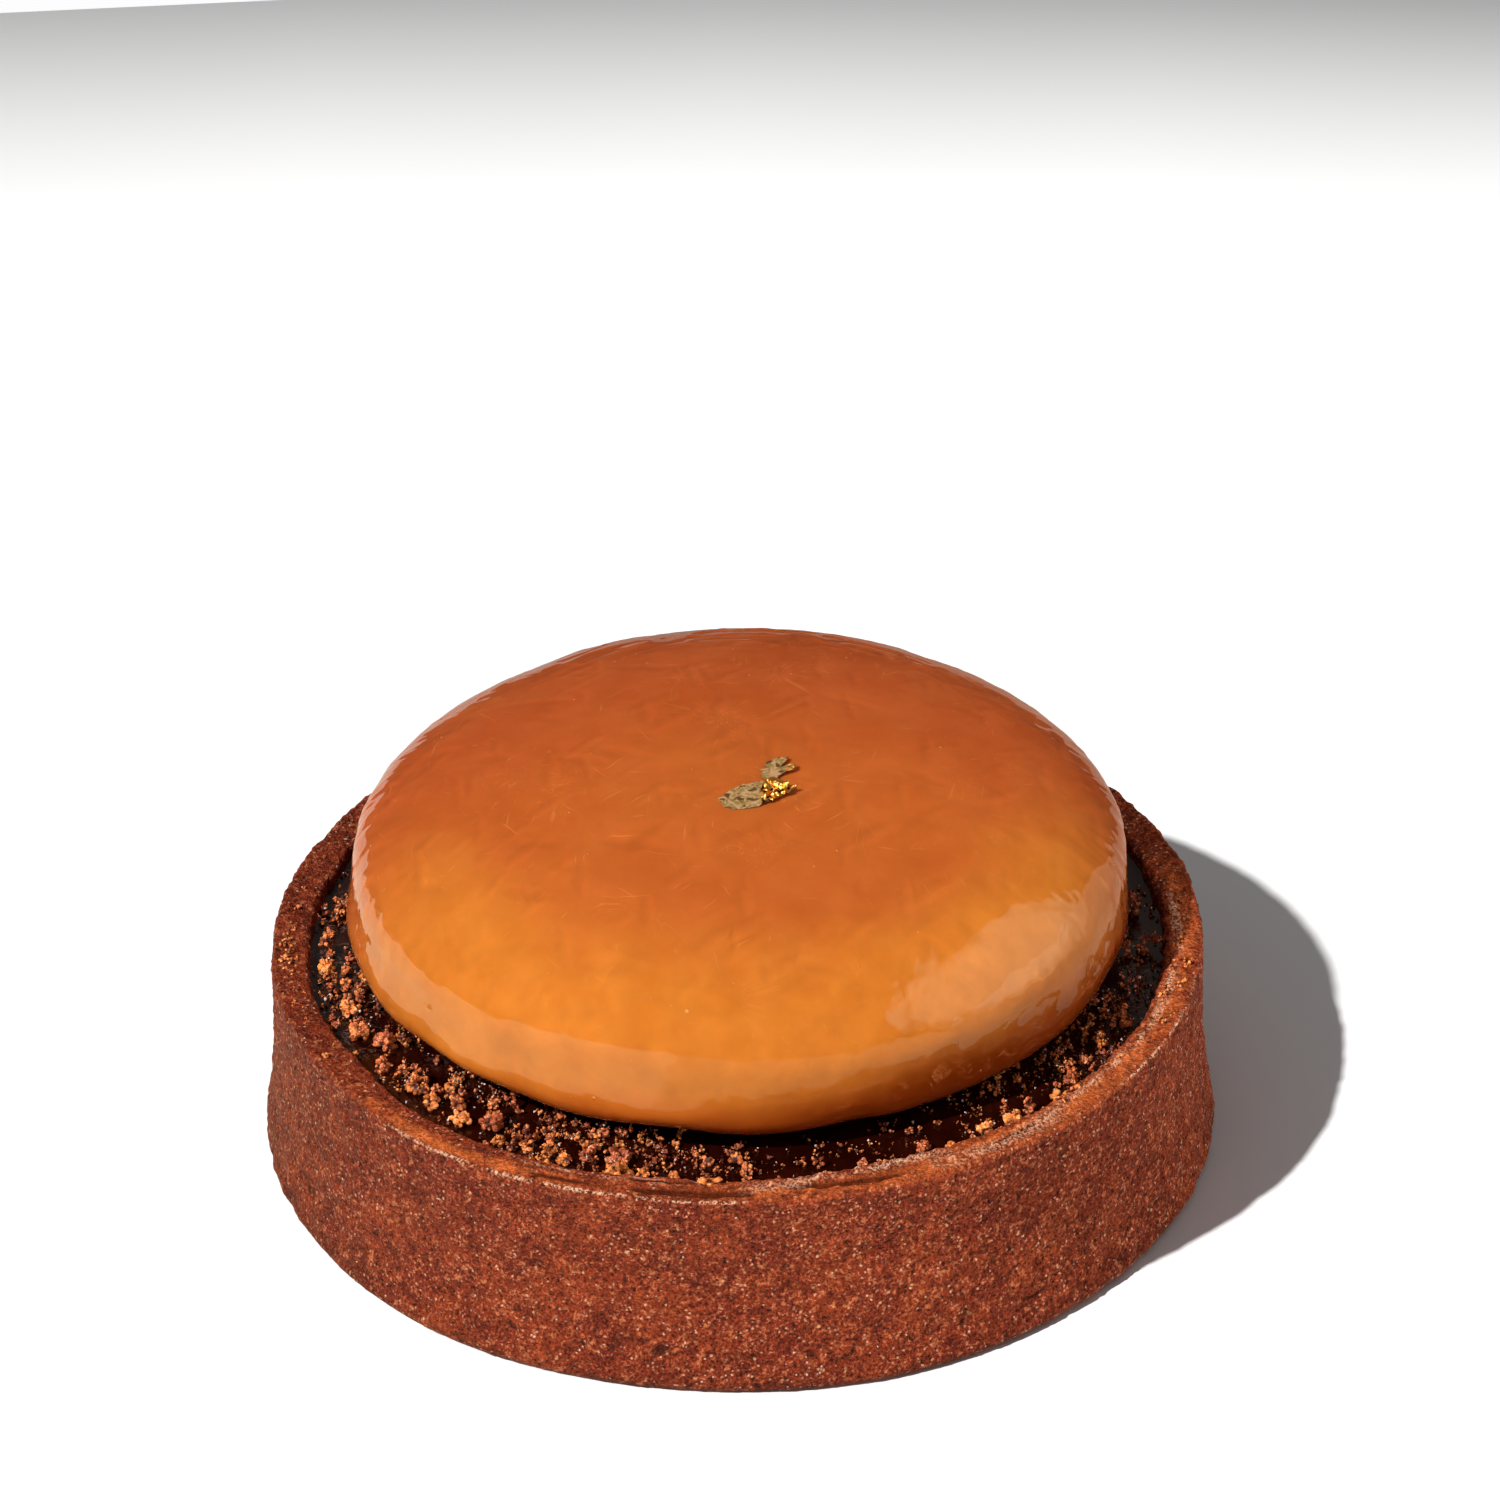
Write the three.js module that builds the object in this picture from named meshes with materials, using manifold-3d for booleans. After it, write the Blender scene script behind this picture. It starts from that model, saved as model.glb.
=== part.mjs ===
// A round chocolate tartlet: a baked cocoa shortcrust shell, filled with dark ganache,
// with biscuit crumbs on the ganache, a caramel-glazed dome on top and a flake of gold leaf on the dome.
// Millimetres, +Z up. The origin is the centre of the shell's underside, and -Y is the front.
import * as THREE from "three";
import { mergeVertices } from "three/addons/utils/BufferGeometryUtils.js";
import Module from "manifold-3d";

// Shell
const RIM_RADIUS = 40; // outside, at the rim
const FOOT_RADIUS = 41.3; // outside, where the dough has slumped at the foot
const FLARE_POWER = 3; // how closely the slump keeps to the foot
const SHELL_HEIGHT = 18.5;
const INNER_RADIUS = 36.6;
const FLOOR_THICKNESS = 3;
const FOOT_ROUND = 1;
const RIM_ROUND = 0.6;
const ARC_STEPS = 2;
const SHELL_SEGMENTS = 96;
const WALL_ROWS = 10;
const CRUST_RELIEF = 0.3; // how far the crags stand in or out
const CRAG_SIZE = 2.6;

// Ganache
const GANACHE_LEVEL = 17;
const FIT_GAP = 0.1; // between two pieces that touch

// Caramel dome: its profile is a soft curve above its widest ring and a squarer one below it
const DOME_RADIUS = 32.9;
const DOME_WIDEST_Z = 25.1;
const DOME_CROWN = 11.5; // height above the widest ring
const DOME_CROWN_POWER = 2.1;
const DOME_SKIRT = 8.95; // depth below the widest ring, before the flat foot
const DOME_SKIRT_POWER = 4.4;
const DOME_OFFSET = new THREE.Vector2(0.3, 0.35);
const DOME_SEGMENTS = 84;
const DOME_CROWN_ROWS = 9;
const DOME_SKIRT_ROWS = 8;
// Where the glaze ran down and set in a lobe, or drew back: direction in degrees, reach in mm, width in degrees
const GLAZE_RUNS = [
  [-87, 0.55, 9], [-103, -0.95, 7], [-72, -0.3, 6], [-66, 0.35, 6], [-49, 0.4, 9], [-20, -0.1, 8],
  [-133, -1, 11], [-152, 0.3, 6], [-163, 0.25, 8],
  [165, -0.3, 12], [128, 0.4, 14], [95, -0.4, 11], [62, 0.45, 12], [28, -0.35, 12],
];
// Where the side is fuller: direction in degrees, height, reach in mm, width in degrees, spread in mm
const GLAZE_SWELLS = [
  [-172, 21.2, 0.85, 14, 3.2], [-152, 20.8, 0.5, 9, 3], [-134, 20.6, 0.65, 9, 2.4], [-118, 20.4, 0.35, 8, 2.4],
  [-103, 20.4, 0.5, 8, 2.3], [-37, 20.6, 0.45, 9, 2.4], [-15, 21.8, 0.6, 15, 2.6], [-112, 28, 0.22, 14, 1.4],
  [168, 28.2, 0.35, 26, 2.4], [8, 28.2, 0.35, 26, 2.4],
];

// The crumbs that stand out, from the left round the front to the right: direction in degrees, distance from the
// middle, and radius
const LANDMARK_CRUMBS = [
  [171, 34.6, 0.86], [177, 35.2, 0.63], [182, 34.9, 0.69], [186, 35.3, 0.86], [190, 33.9, 0.63], [197, 34.4, 1.03],
  [203, 34.6, 1.09], [207, 33.4, 1.03], [212, 35.2, 0.92], [214, 33.8, 0.69], [219, 34.4, 1.26], [223, 35, 1.09],
  [226, 33.6, 0.92], [229, 35.1, 0.98], [233, 33.9, 1.15], [236, 35.6, 0.69], [240, 34.8, 0.86], [243, 34.2, 0.75],
  [246, 35.4, 0.92], [249, 34.4, 1.09], [253, 33.9, 1.21], [254, 36, 1.32], [257, 35.7, 0.8], [261, 35.9, 0.92],
  [266, 36.6, 1.26], [271, 35.6, 0.57], [281, 36, 0.75], [287, 34.7, 0.57], [289, 35.7, 0.75], [296, 34.6, 0.86],
  [299, 35.8, 0.75], [305, 35.4, 1.03], [309, 36.2, 1.26], [313, 35.2, 0.69], [318, 36, 0.92], [322, 35, 0.86],
  [327, 34.6, 0.69], [338, 35.3, 0.75],
];
const CRUMB_COUNT = 130; // with those
const CRUMB_LARGEST = 0.9; // radius of the others
const CRUMB_SMALLEST = 0.45;
const CRUMB_CLEARANCE = 0.3; // to the shell and the dome
const CRUMB_SUNK = 0.35; // share of its radius below the ganache
const CRUMB_SEED = 20711;

// Gold leaf
const LEAF_THICKNESS = 0.12;
const LEAF_LIFT = 0.1; // lowest height over the dome
const LEAF_WAVE = 0.28;
const LEAF_CELLS_LONG = 10;
const LEAF_CELLS_WIDE = 4;

const wasm = await Module();
wasm.setup();

const degrees = THREE.MathUtils.degToRad;
const { clamp, lerp, smoothstep } = THREE.MathUtils;

// A repeatable value from -1 to 1 at each corner of a cubic lattice.
function latticeValue(i, j, k) {
  let h = (Math.imul(i, 374761393) + Math.imul(j, 668265263) + Math.imul(k, 1440662683)) | 0;
  h = Math.imul(h ^ (h >>> 13), 1274126177);
  return ((h ^ (h >>> 16)) >>> 0) / 2147483648 - 1;
}

// Smooth noise from -1 to 1, with features of about 1 unit.
function noise(x, y, z) {
  const [i, j, k] = [Math.floor(x), Math.floor(y), Math.floor(z)];
  const [u, v, w] = [x - i, y - j, z - k].map((t) => t * t * (3 - 2 * t));
  const edge = (b, c) => lerp(latticeValue(i, j + b, k + c), latticeValue(i + 1, j + b, k + c), u);
  return lerp(lerp(edge(0, 0), edge(1, 0), v), lerp(edge(0, 1), edge(1, 1), v), w);
}

// The turn from one direction to another in degrees, from -180 to 180.
function turnBetween(from, to) {
  return THREE.MathUtils.euclideanModulo(to - from + 180, 360) - 180;
}

// Park and Miller's generator: a function that gives values from 0 to 1, the same ones for the same seed.
function randomFrom(seed) {
  let state = seed;
  return () => {
    state = (state * 16807) % 2147483647;
    return state / 2147483647;
  };
}

// The closed surface that a profile of [radius, height] pairs sweeps round the Z axis.
function turned(profile, segments) {
  const points = profile.map(([radius, height]) => new THREE.Vector2(radius, height));
  return new THREE.LatheGeometry(points, segments).rotateX(Math.PI / 2);
}

// Moves every vertex by move(radius, angle, height), which gives the new three.
function reshaped(geometry, move) {
  const position = geometry.getAttribute("position");
  for (let n = 0; n < position.count; n++) {
    const [x, y] = [position.getX(n), position.getY(n)];
    const [radius, angle, height] = move(Math.hypot(x, y), Math.atan2(y, x), position.getZ(n));
    position.setXYZ(n, radius * Math.cos(angle), radius * Math.sin(angle), height);
  }
  return geometry;
}

function solidOf(geometry) {
  const bare = new THREE.BufferGeometry().setAttribute("position", geometry.getAttribute("position"));
  if (geometry.index) bare.setIndex(geometry.index);
  const merged = mergeVertices(bare, 1e-4);
  return new wasm.Manifold(
    new wasm.Mesh({
      numProp: 3,
      vertProperties: merged.getAttribute("position").array,
      triVerts: new Uint32Array(merged.index.array),
    }),
  );
}

function geometryOf(solid) {
  const mesh = solid.getMesh();
  const geometry = new THREE.BufferGeometry();
  geometry.setAttribute("position", new THREE.BufferAttribute(new Float32Array(mesh.vertProperties), 3));
  geometry.setIndex(new THREE.BufferAttribute(new Uint32Array(mesh.triVerts), 1));
  geometry.computeVertexNormals();
  return geometry;
}

// The largest of a solid's surfaces: without loose scraps, and with any pocket sealed inside it filled.
function outerBody(solid) {
  return solid.decompose().reduce((most, piece) => (piece.volume() > most.volume() ? piece : most));
}

// Points of an arc of the given radius about [x, y], from one angle to another in degrees.
function arc([x, y], radius, from, to) {
  return Array.from({ length: ARC_STEPS + 1 }, (_, n) => {
    const angle = degrees(lerp(from, to, n / ARC_STEPS));
    return [x + radius * Math.cos(angle), y + radius * Math.sin(angle)];
  });
}

// A bump of height 1 round a direction, for an angle in radians.
function heap(angle, direction, width) {
  return Math.exp(-((turnBetween(direction, THREE.MathUtils.radToDeg(angle)) / width) ** 2));
}

// ---- Shell ----

// How far the whole wall stands in or out at an angle, as rolled dough pressed into a ring does.
function wallWave(angle) {
  return 0.12 * Math.sin(2 * angle - 1) + 0.12 * Math.sin(3 * angle + 2.6) + 0.08 * Math.sin(7 * angle - 2);
}

// How much farther the dough has slumped at the foot, most of all at the front.
function footWave(angle) {
  return 0.45 * heap(angle, -82, 42) + 0.1 * Math.sin(5 * angle + degrees(40));
}

// How far the wall's inside lies farther out than elsewhere.
function innerWave(angle) {
  const hollows = 0.4 * heap(angle, -136, 7) + 0.3 * heap(angle, -165, 9) + 0.4 * heap(angle, -113, 7);
  return 0.1 + hollows - 0.25 * heap(angle, -71, 9);
}

// How far the rim stands above or below its height at an angle, after it was trimmed by hand.
function rimWave(angle) {
  return 0.16 * Math.sin(angle + 0.9) + 0.12 * Math.sin(4 * angle + 1.2) + 0.08 * Math.sin(9 * angle);
}

function shellProfile() {
  const wallTop = SHELL_HEIGHT - RIM_ROUND;
  const wall = Array.from({ length: WALL_ROWS - 1 }, (_, n) => {
    const share = (n + 1) / WALL_ROWS;
    return [lerp(RIM_RADIUS, FOOT_RADIUS, (1 - share) ** FLARE_POWER), lerp(FOOT_ROUND, wallTop, share)];
  });
  return [
    [0, 0],
    ...arc([FOOT_RADIUS - FOOT_ROUND, FOOT_ROUND], FOOT_ROUND, -90, 0),
    ...wall,
    ...arc([RIM_RADIUS - RIM_ROUND, wallTop], RIM_ROUND, 0, 90),
    [(RIM_RADIUS + INNER_RADIUS) / 2, SHELL_HEIGHT],
    ...arc([INNER_RADIUS + RIM_ROUND, wallTop], RIM_ROUND, 90, 180),
    [INNER_RADIUS, FLOOR_THICKNESS],
    [0, FLOOR_THICKNESS],
  ];
}

function shell() {
  const middle = (RIM_RADIUS + INNER_RADIUS) / 2;
  const geometry = reshaped(turned(shellProfile(), SHELL_SEGMENTS), (radius, angle, height) => {
    const [x, y] = [radius * Math.cos(angle) / CRAG_SIZE, radius * Math.sin(angle) / CRAG_SIZE];
    const crag = CRUST_RELIEF * noise(x, y, height / CRAG_SIZE);
    const onRim = smoothstep(height, SHELL_HEIGHT - 1, SHELL_HEIGHT);
    const onWall = radius > middle ? smoothstep(height, 0, FOOT_ROUND) : 0;
    const slump = radius > middle ? clamp(1 - height / SHELL_HEIGHT, 0, 1) ** FLARE_POWER * footWave(angle) : 0;
    const hollow = (1 - smoothstep(radius, INNER_RADIUS, INNER_RADIUS + 1.5)) * innerWave(angle);
    const wallMoves = radius > INNER_RADIUS - 1 ? wallWave(angle) + slump + hollow : 0;
    const newHeight = height + onRim * crag + (clamp(height - FLOOR_THICKNESS, 0, 15) / 15) * rimWave(angle);
    return [radius + wallMoves + onWall * (1 - onRim) * crag, angle, newHeight];
  });
  return solidOf(geometry);
}

// ---- Ganache ----

function ganacheBody() {
  const radius = INNER_RADIUS - FIT_GAP;
  const profile = [
    [0, FLOOR_THICKNESS + FIT_GAP], [radius, FLOOR_THICKNESS + FIT_GAP], [radius, GANACHE_LEVEL + 0.15],
    [radius - 0.7, GANACHE_LEVEL], [0, GANACHE_LEVEL],
  ];
  return solidOf(
    reshaped(turned(profile, SHELL_SEGMENTS), (r, angle, height) => [
      r > radius - 1 ? r + wallWave(angle) + innerWave(angle) : r, angle, height,
    ]),
  );
}

// How thickly the crumbs lie at an angle: most at the left and the front left, fewest at the front.
function crumbCover(angle) {
  const left = 0.7 * heap(angle, 195, 28) + 0.75 * heap(angle, 238, 26);
  const right = 0.65 * heap(angle, 322, 20) + 0.6 * heap(angle, 350, 20);
  return 0.32 + left + right - 0.15 * heap(angle, 285, 10);
}

// One crumb: a small faceted lump, with its corners moved in and out.
function crumb(random, radius) {
  const lump = new THREE.IcosahedronGeometry(radius, 0);
  const position = mergeVertices(lump.deleteAttribute("normal").deleteAttribute("uv"), 1e-4);
  const corner = position.getAttribute("position");
  for (let n = 0; n < corner.count; n++) {
    const reach = lerp(0.78, 1.12, random());
    corner.setXYZ(n, corner.getX(n) * reach, corner.getY(n) * reach, corner.getZ(n) * reach);
  }
  return position.rotateZ(2 * Math.PI * random());
}

// The nearest and the farthest that a crumb may lie from the middle, clear of the dome and the shell.
function crumbRoom(angle, radius) {
  const dome = DOME_RADIUS - 1.1 + Math.max(0, glazeShift(angle, GANACHE_LEVEL + radius));
  const nearest = dome + CRUMB_CLEARANCE + 1.12 * radius;
  return [nearest, Math.max(nearest, INNER_RADIUS - 0.5 - CRUMB_CLEARANCE - 1.12 * radius)];
}

// Where each crumb lies: [x, y, radius].
function crumbPlaces(random) {
  const place = (angle, away, radius) => [away * Math.cos(angle), away * Math.sin(angle), radius];
  const places = LANDMARK_CRUMBS.map(([direction, distance, radius]) => {
    const angle = degrees(direction);
    return place(angle, clamp(distance, ...crumbRoom(angle, radius)), radius);
  });
  while (places.length < CRUMB_COUNT) {
    const radius = lerp(CRUMB_LARGEST, CRUMB_SMALLEST, Math.sqrt(places.length / CRUMB_COUNT));
    const angle = 2 * Math.PI * random();
    const wanted = 1.8 * random();
    const share = random();
    if (wanted > crumbCover(angle)) continue;
    places.push(place(angle, lerp(...crumbRoom(angle, radius), share), radius));
  }
  return places;
}

function ganacheWithCrumbs() {
  const random = randomFrom(CRUMB_SEED);
  const lumps = crumbPlaces(random).map(([x, y, radius]) => {
    const height = GANACHE_LEVEL + radius * (1 - 2 * CRUMB_SUNK);
    return solidOf(crumb(random, radius).translate(x, y, height));
  });
  return outerBody(wasm.Manifold.union([ganacheBody(), ...lumps]));
}

// ---- Dome ----

// How far the glaze stands out or in at an angle and a height.
function glazeShift(angle, height) {
  const low = 1 - smoothstep(height, GANACHE_LEVEL + 0.4, DOME_WIDEST_Z - 3.5);
  const runs = GLAZE_RUNS.map(([direction, reach, width]) => low * reach * heap(angle, direction, width));
  const swells = GLAZE_SWELLS.map(([direction, level, reach, width, spread]) => {
    return reach * heap(angle, direction, width) * Math.exp(-(((height - level) / spread) ** 2));
  });
  return [...runs, ...swells].reduce((sum, shift) => sum + shift, 0);
}

function domeProfile() {
  const crown = Array.from({ length: DOME_CROWN_ROWS }, (_, n) => {
    const turn = degrees((90 * n) / DOME_CROWN_ROWS);
    return [
      DOME_RADIUS * Math.cos(turn) ** (2 / DOME_CROWN_POWER),
      DOME_WIDEST_Z + DOME_CROWN * Math.sin(turn) ** (2 / DOME_CROWN_POWER),
    ];
  });
  const foot = GANACHE_LEVEL + FIT_GAP;
  const skirt = Array.from({ length: DOME_SKIRT_ROWS }, (_, n) => {
    const height = lerp(foot, DOME_WIDEST_Z, (n / DOME_SKIRT_ROWS) ** 1.6);
    const depth = (DOME_WIDEST_Z - height) / DOME_SKIRT;
    return [DOME_RADIUS * (1 - depth ** DOME_SKIRT_POWER) ** (1 / DOME_SKIRT_POWER), height];
  });
  return [[0, foot], ...skirt, ...crown, [0, DOME_WIDEST_Z + DOME_CROWN]];
}

function dome() {
  const geometry = reshaped(turned(domeProfile(), DOME_SEGMENTS), (radius, angle, height) => {
    return [radius > 20 ? radius + glazeShift(angle, height) : radius, angle, height];
  });
  return solidOf(geometry.translate(DOME_OFFSET.x, DOME_OFFSET.y, 0));
}

function domeHeight(x, y) {
  const share = Math.hypot(x - DOME_OFFSET.x, y - DOME_OFFSET.y) / DOME_RADIUS;
  return DOME_WIDEST_Z + DOME_CROWN * (1 - share ** DOME_CROWN_POWER) ** (1 / DOME_CROWN_POWER);
}

// ---- Gold leaf ----

// A thin closed sheet: place(u, v, side) gives a point for u and v from 0 to 1 on side 0, below, or 1, above.
function thinSheet(cellsLong, cellsWide, place) {
  const points = [];
  const faces = [];
  const index = (i, j, side) => 2 * (i * (cellsWide + 1) + j) + side;
  for (let i = 0; i <= cellsLong; i++)
    for (let j = 0; j <= cellsWide; j++)
      for (const side of [0, 1]) points.push(...place(i / cellsLong, j / cellsWide, side));
  for (let i = 0; i < cellsLong; i++)
    for (let j = 0; j < cellsWide; j++) {
      const [a, b, c, d] = [[i, j], [i + 1, j], [i + 1, j + 1], [i, j + 1]];
      faces.push([...a, 1, ...b, 1, ...c, 1], [...a, 1, ...c, 1, ...d, 1]);
      faces.push([...a, 0, ...c, 0, ...b, 0], [...a, 0, ...d, 0, ...c, 0]);
    }
  const wall = (a, b) => faces.push([...a, 0, ...b, 0, ...b, 1], [...a, 0, ...b, 1, ...a, 1]);
  for (let i = 0; i < cellsLong; i++) {
    wall([i, 0], [i + 1, 0]);
    wall([i + 1, cellsWide], [i, cellsWide]);
  }
  for (let j = 0; j < cellsWide; j++) {
    wall([cellsLong, j], [cellsLong, j + 1]);
    wall([0, j + 1], [0, j]);
  }
  const geometry = new THREE.BufferGeometry();
  geometry.setAttribute("position", new THREE.Float32BufferAttribute(points, 3));
  geometry.setIndex(faces.flatMap(([a, b, c, d, e, f, g, h, i]) => [index(a, b, c), index(d, e, f), index(g, h, i)]));
  return geometry;
}

// One torn flake that lies on the dome, pointed at both ends: its middle, length, width and heading in degrees.
function flake({ x, y, length, width, heading, phase, lift = 0 }) {
  const along = new THREE.Vector2(Math.cos(degrees(heading)), Math.sin(degrees(heading)));
  return solidOf(
    thinSheet(LEAF_CELLS_LONG, LEAF_CELLS_WIDE, (u, v, side) => {
      const torn = 1 + 0.18 * Math.sin(11 * u + phase) + 0.1 * Math.sin(23 * u + 2 * phase);
      const halfWidth = (width / 2) * Math.max(0.16, Math.sin(Math.PI * u) ** 0.7 * torn);
      const [s, t] = [length * (u - 0.5), halfWidth * (2 * v - 1)];
      const [px, py] = [x + along.x * s - along.y * t, y + along.y * s + along.x * t];
      const wave = 0.5 + 0.5 * Math.sin(1.9 * s + phase + 1.3 * t) * Math.cos(2.3 * t - phase);
      return [px, py, domeHeight(px, py) + LEAF_LIFT + lift + LEAF_WAVE * wave + side * LEAF_THICKNESS];
    }),
  );
}

function goldLeaf() {
  const flakes = [
    flake({ x: 1.4, y: -7.4, length: 6.6, width: 3.4, heading: 8, phase: 0.4 }),
    flake({ x: 3.9, y: -6.2, length: 3.4, width: 2.6, heading: 40, phase: 2.2, lift: 0.15 }),
    flake({ x: 3.7, y: -3.6, length: 5, width: 2.6, heading: 74, phase: 3.6, lift: 0.05 }),
  ];
  return outerBody(wasm.Manifold.union(flakes));
}

// ---- Assembly ----

function part(name, solid, material) {
  const mesh = new THREE.Mesh(geometryOf(solid), new THREE.MeshStandardMaterial(material));
  mesh.name = name;
  return mesh;
}

const tart = new THREE.Group();
tart.add(part("tart_shell", shell(), { color: 0x8a4028, roughness: 0.85, metalness: 0 }));
tart.add(part("ganache_with_crumbs", ganacheWithCrumbs(), { color: 0x1c0a06, roughness: 0.2, metalness: 0 }));
tart.add(part("caramel_dome", dome(), { color: 0xcc6a2a, roughness: 0.12, metalness: 0 }));
tart.add(part("gold_leaf", goldLeaf(), { color: 0xb08d3c, roughness: 0.35, metalness: 1 }));

export default tart;
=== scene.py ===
"""A round chocolate tartlet with a caramel-glazed dome, on a pale floor.

Lengths are in millimetres in the tart's own frame (origin under its middle, +Z up, -Y to the front), and
become metres where a mesh, a light or a texture is made. Angles round the tart are in degrees from +X.
"""

import math
from functools import partial

import bmesh
import bpy
import numpy as np
from mathutils import Matrix, Vector


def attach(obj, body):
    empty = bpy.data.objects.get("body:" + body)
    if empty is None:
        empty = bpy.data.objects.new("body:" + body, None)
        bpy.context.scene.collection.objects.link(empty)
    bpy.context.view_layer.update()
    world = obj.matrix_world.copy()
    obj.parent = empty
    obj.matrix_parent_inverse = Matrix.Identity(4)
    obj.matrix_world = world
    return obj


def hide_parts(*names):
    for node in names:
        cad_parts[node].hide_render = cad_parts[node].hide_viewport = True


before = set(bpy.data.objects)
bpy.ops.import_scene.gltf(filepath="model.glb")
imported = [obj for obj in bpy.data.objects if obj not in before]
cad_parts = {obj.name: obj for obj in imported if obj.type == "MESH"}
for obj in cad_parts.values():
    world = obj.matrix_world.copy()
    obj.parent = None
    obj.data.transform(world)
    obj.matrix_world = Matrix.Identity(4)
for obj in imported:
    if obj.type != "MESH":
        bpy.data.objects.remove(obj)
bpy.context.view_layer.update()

MM = 0.001

# Shell, as in the solid
RIM_RADIUS = 40.0
FOOT_RADIUS = 41.3
FLARE_POWER = 3.0
SHELL_HEIGHT = 18.5
INNER_RADIUS = 36.6
RIM_MIDDLE = 38.0  # parts the wall's outside from its inside
FLOOR_THICKNESS = 3.0
FOOT_ROUND = 1.0
RIM_OUTER_ROUND = 0.5
RIM_INNER_ROUND = 0.6

# Ganache
GANACHE_LEVEL = 17.0

# Dome, as in the solid, except for the swells
DOME_RADIUS = 32.9
DOME_WIDEST_Z = 25.1
DOME_CROWN = 11.5
DOME_CROWN_POWER = 2.1
DOME_SKIRT = 8.95
DOME_SKIRT_POWER = 4.4
DOME_CENTRE = (0.3, 0.35)
# Where the glaze set in a lobe or drew back: direction in degrees, reach in mm, width in degrees
GLAZE_RUNS = [
    (-87, 0.55, 9), (-103, -0.95, 7), (-72, -0.3, 6), (-66, 0.35, 6), (-49, 0.4, 9), (-20, -0.1, 8),
    (-133, -1.0, 11), (-152, 0.3, 6), (-163, 0.25, 8),
    (165, -0.3, 12), (128, 0.4, 14), (95, -0.4, 11), (62, 0.45, 12), (28, -0.35, 12),
]
# Where the side is fuller, or hollower below 0: direction in degrees, height, reach in mm, width in degrees,
# spread in mm. The first three are a little fuller than in the solid, and the hollow is only here.
GLAZE_SWELLS = [
    (-172, 21.2, 1.0, 14, 3.2), (-152, 20.8, 0.75, 9, 3.0), (-134, 20.6, 0.75, 9, 2.4),
    (-118, 20.4, 0.35, 8, 2.4), (-103, 20.4, 0.5, 8, 2.3), (-62, 21.4, -0.35, 15, 2.2),
    (-37, 20.6, 0.45, 9, 2.4), (-15, 21.8, 0.6, 15, 2.6), (-112, 28.0, 0.22, 14, 1.4),
    (168, 28.2, 0.35, 26, 2.4), (8, 28.2, 0.35, 26, 2.4),
]


# ---- Noise and small helpers ----


HASH_PRIMES = (374761393, 668265263, 1440662683)
HASH_MIXER = 1274126177


def lattice_value(*corner):
    """A repeatable value from -1 to 1 at each corner of a cubic lattice."""
    parts = [np.asarray(n).astype(np.uint32) * np.uint32(prime) for n, prime in zip(corner, HASH_PRIMES)]
    h = parts[0] + parts[1] + parts[2]
    h = (h ^ (h >> np.uint32(13))) * np.uint32(HASH_MIXER)
    return (h ^ (h >> np.uint32(16))) / 2.0 ** 31 - 1.0


def noise(points, size=1.0, shift=0.0):
    """Smooth noise from -1 to 1 with features of about the given size, at places in x, y, z."""
    scaled = np.asarray(points) / size + shift
    corner = np.floor(scaled).astype(np.int64)
    t = scaled - corner
    t = t * t * (3 - 2 * t)
    total = 0.0
    for di in (0, 1):
        for dj in (0, 1):
            for dk in (0, 1):
                weight = (t[..., 0] if di else 1 - t[..., 0]) * (t[..., 1] if dj else 1 - t[..., 1])
                weight = weight * (t[..., 2] if dk else 1 - t[..., 2])
                value = lattice_value(corner[..., 0] + di, corner[..., 1] + dj, corner[..., 2] + dk)
                total = total + weight * value
    return total


def smoothstep(value, low, high):
    """0 below low and 1 above high, with a soft change between."""
    t = np.clip((value - low) / (high - low), 0, 1)
    return t * t * (3 - 2 * t)


def turn_between(start, end):
    """The turn from one direction to another in degrees, from -180 to 180."""
    return (end - start + 180) % 360 - 180


def heap(angle, centre, width):
    """A bump of height 1 round a direction, in degrees."""
    return np.exp(-((turn_between(centre, angle) / width) ** 2))


def heaps(angle, bumps, start=0.0):
    """Bumps round directions, added to start: each has its direction, height and width in degrees."""
    return sum((height * heap(angle, direction, width) for direction, height, width in bumps), start)


def ridge(value, centre, width):
    """A bump of height 1 round a value."""
    return np.exp(-(((value - centre) / width) ** 2))


def stretch(angle, start, end, fade):
    """1 between two directions in degrees, and 0 outside them, with a soft change."""
    return smoothstep(angle, start - fade, start + fade) * (1 - smoothstep(angle, end - fade, end + fade))


def arc(centre, radius, start, end, steps):
    """Points of an arc from one angle to another in degrees."""
    turns = np.radians(np.linspace(start, end, steps + 1))
    return [(centre[0] + radius * math.cos(t), centre[1] + radius * math.sin(t)) for t in turns]


def line(start, end, step):
    """Points from start up to, but not including, end, at most step apart."""
    count = max(1, math.ceil(math.dist(start, end) / step))
    return [(start[0] + (end[0] - start[0]) * n / count, start[1] + (end[1] - start[1]) * n / count)
            for n in range(count)]


def srgb(red, green, blue, light=1.0):
    """Blender's linear colour for a screen colour from 0 to 255 that shows in the given light."""
    def linear(value):
        value /= 255
        return (value / 12.92 if value <= 0.04045 else ((value + 0.055) / 1.055) ** 2.4) / light
    return linear(red), linear(green), linear(blue), 1.0


# ---- Meshes ----


def mesh_object(name, points, faces, values=None):
    """A smooth object of points in mm and a list of faces, with a float attribute for each of values."""
    mesh = bpy.data.meshes.new(name)
    mesh.from_pydata((points * MM).tolist(), [], faces)
    mesh.polygons.foreach_set("use_smooth", [True] * len(mesh.polygons))
    for key, value in (values or {}).items():
        attribute = mesh.attributes.new(key, "FLOAT", "POINT")
        attribute.data.foreach_set("value", np.asarray(value, dtype=np.float32))
    mesh.update()
    piece = bpy.data.objects.new(name, mesh)
    bpy.context.scene.collection.objects.link(piece)
    return piece


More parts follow.
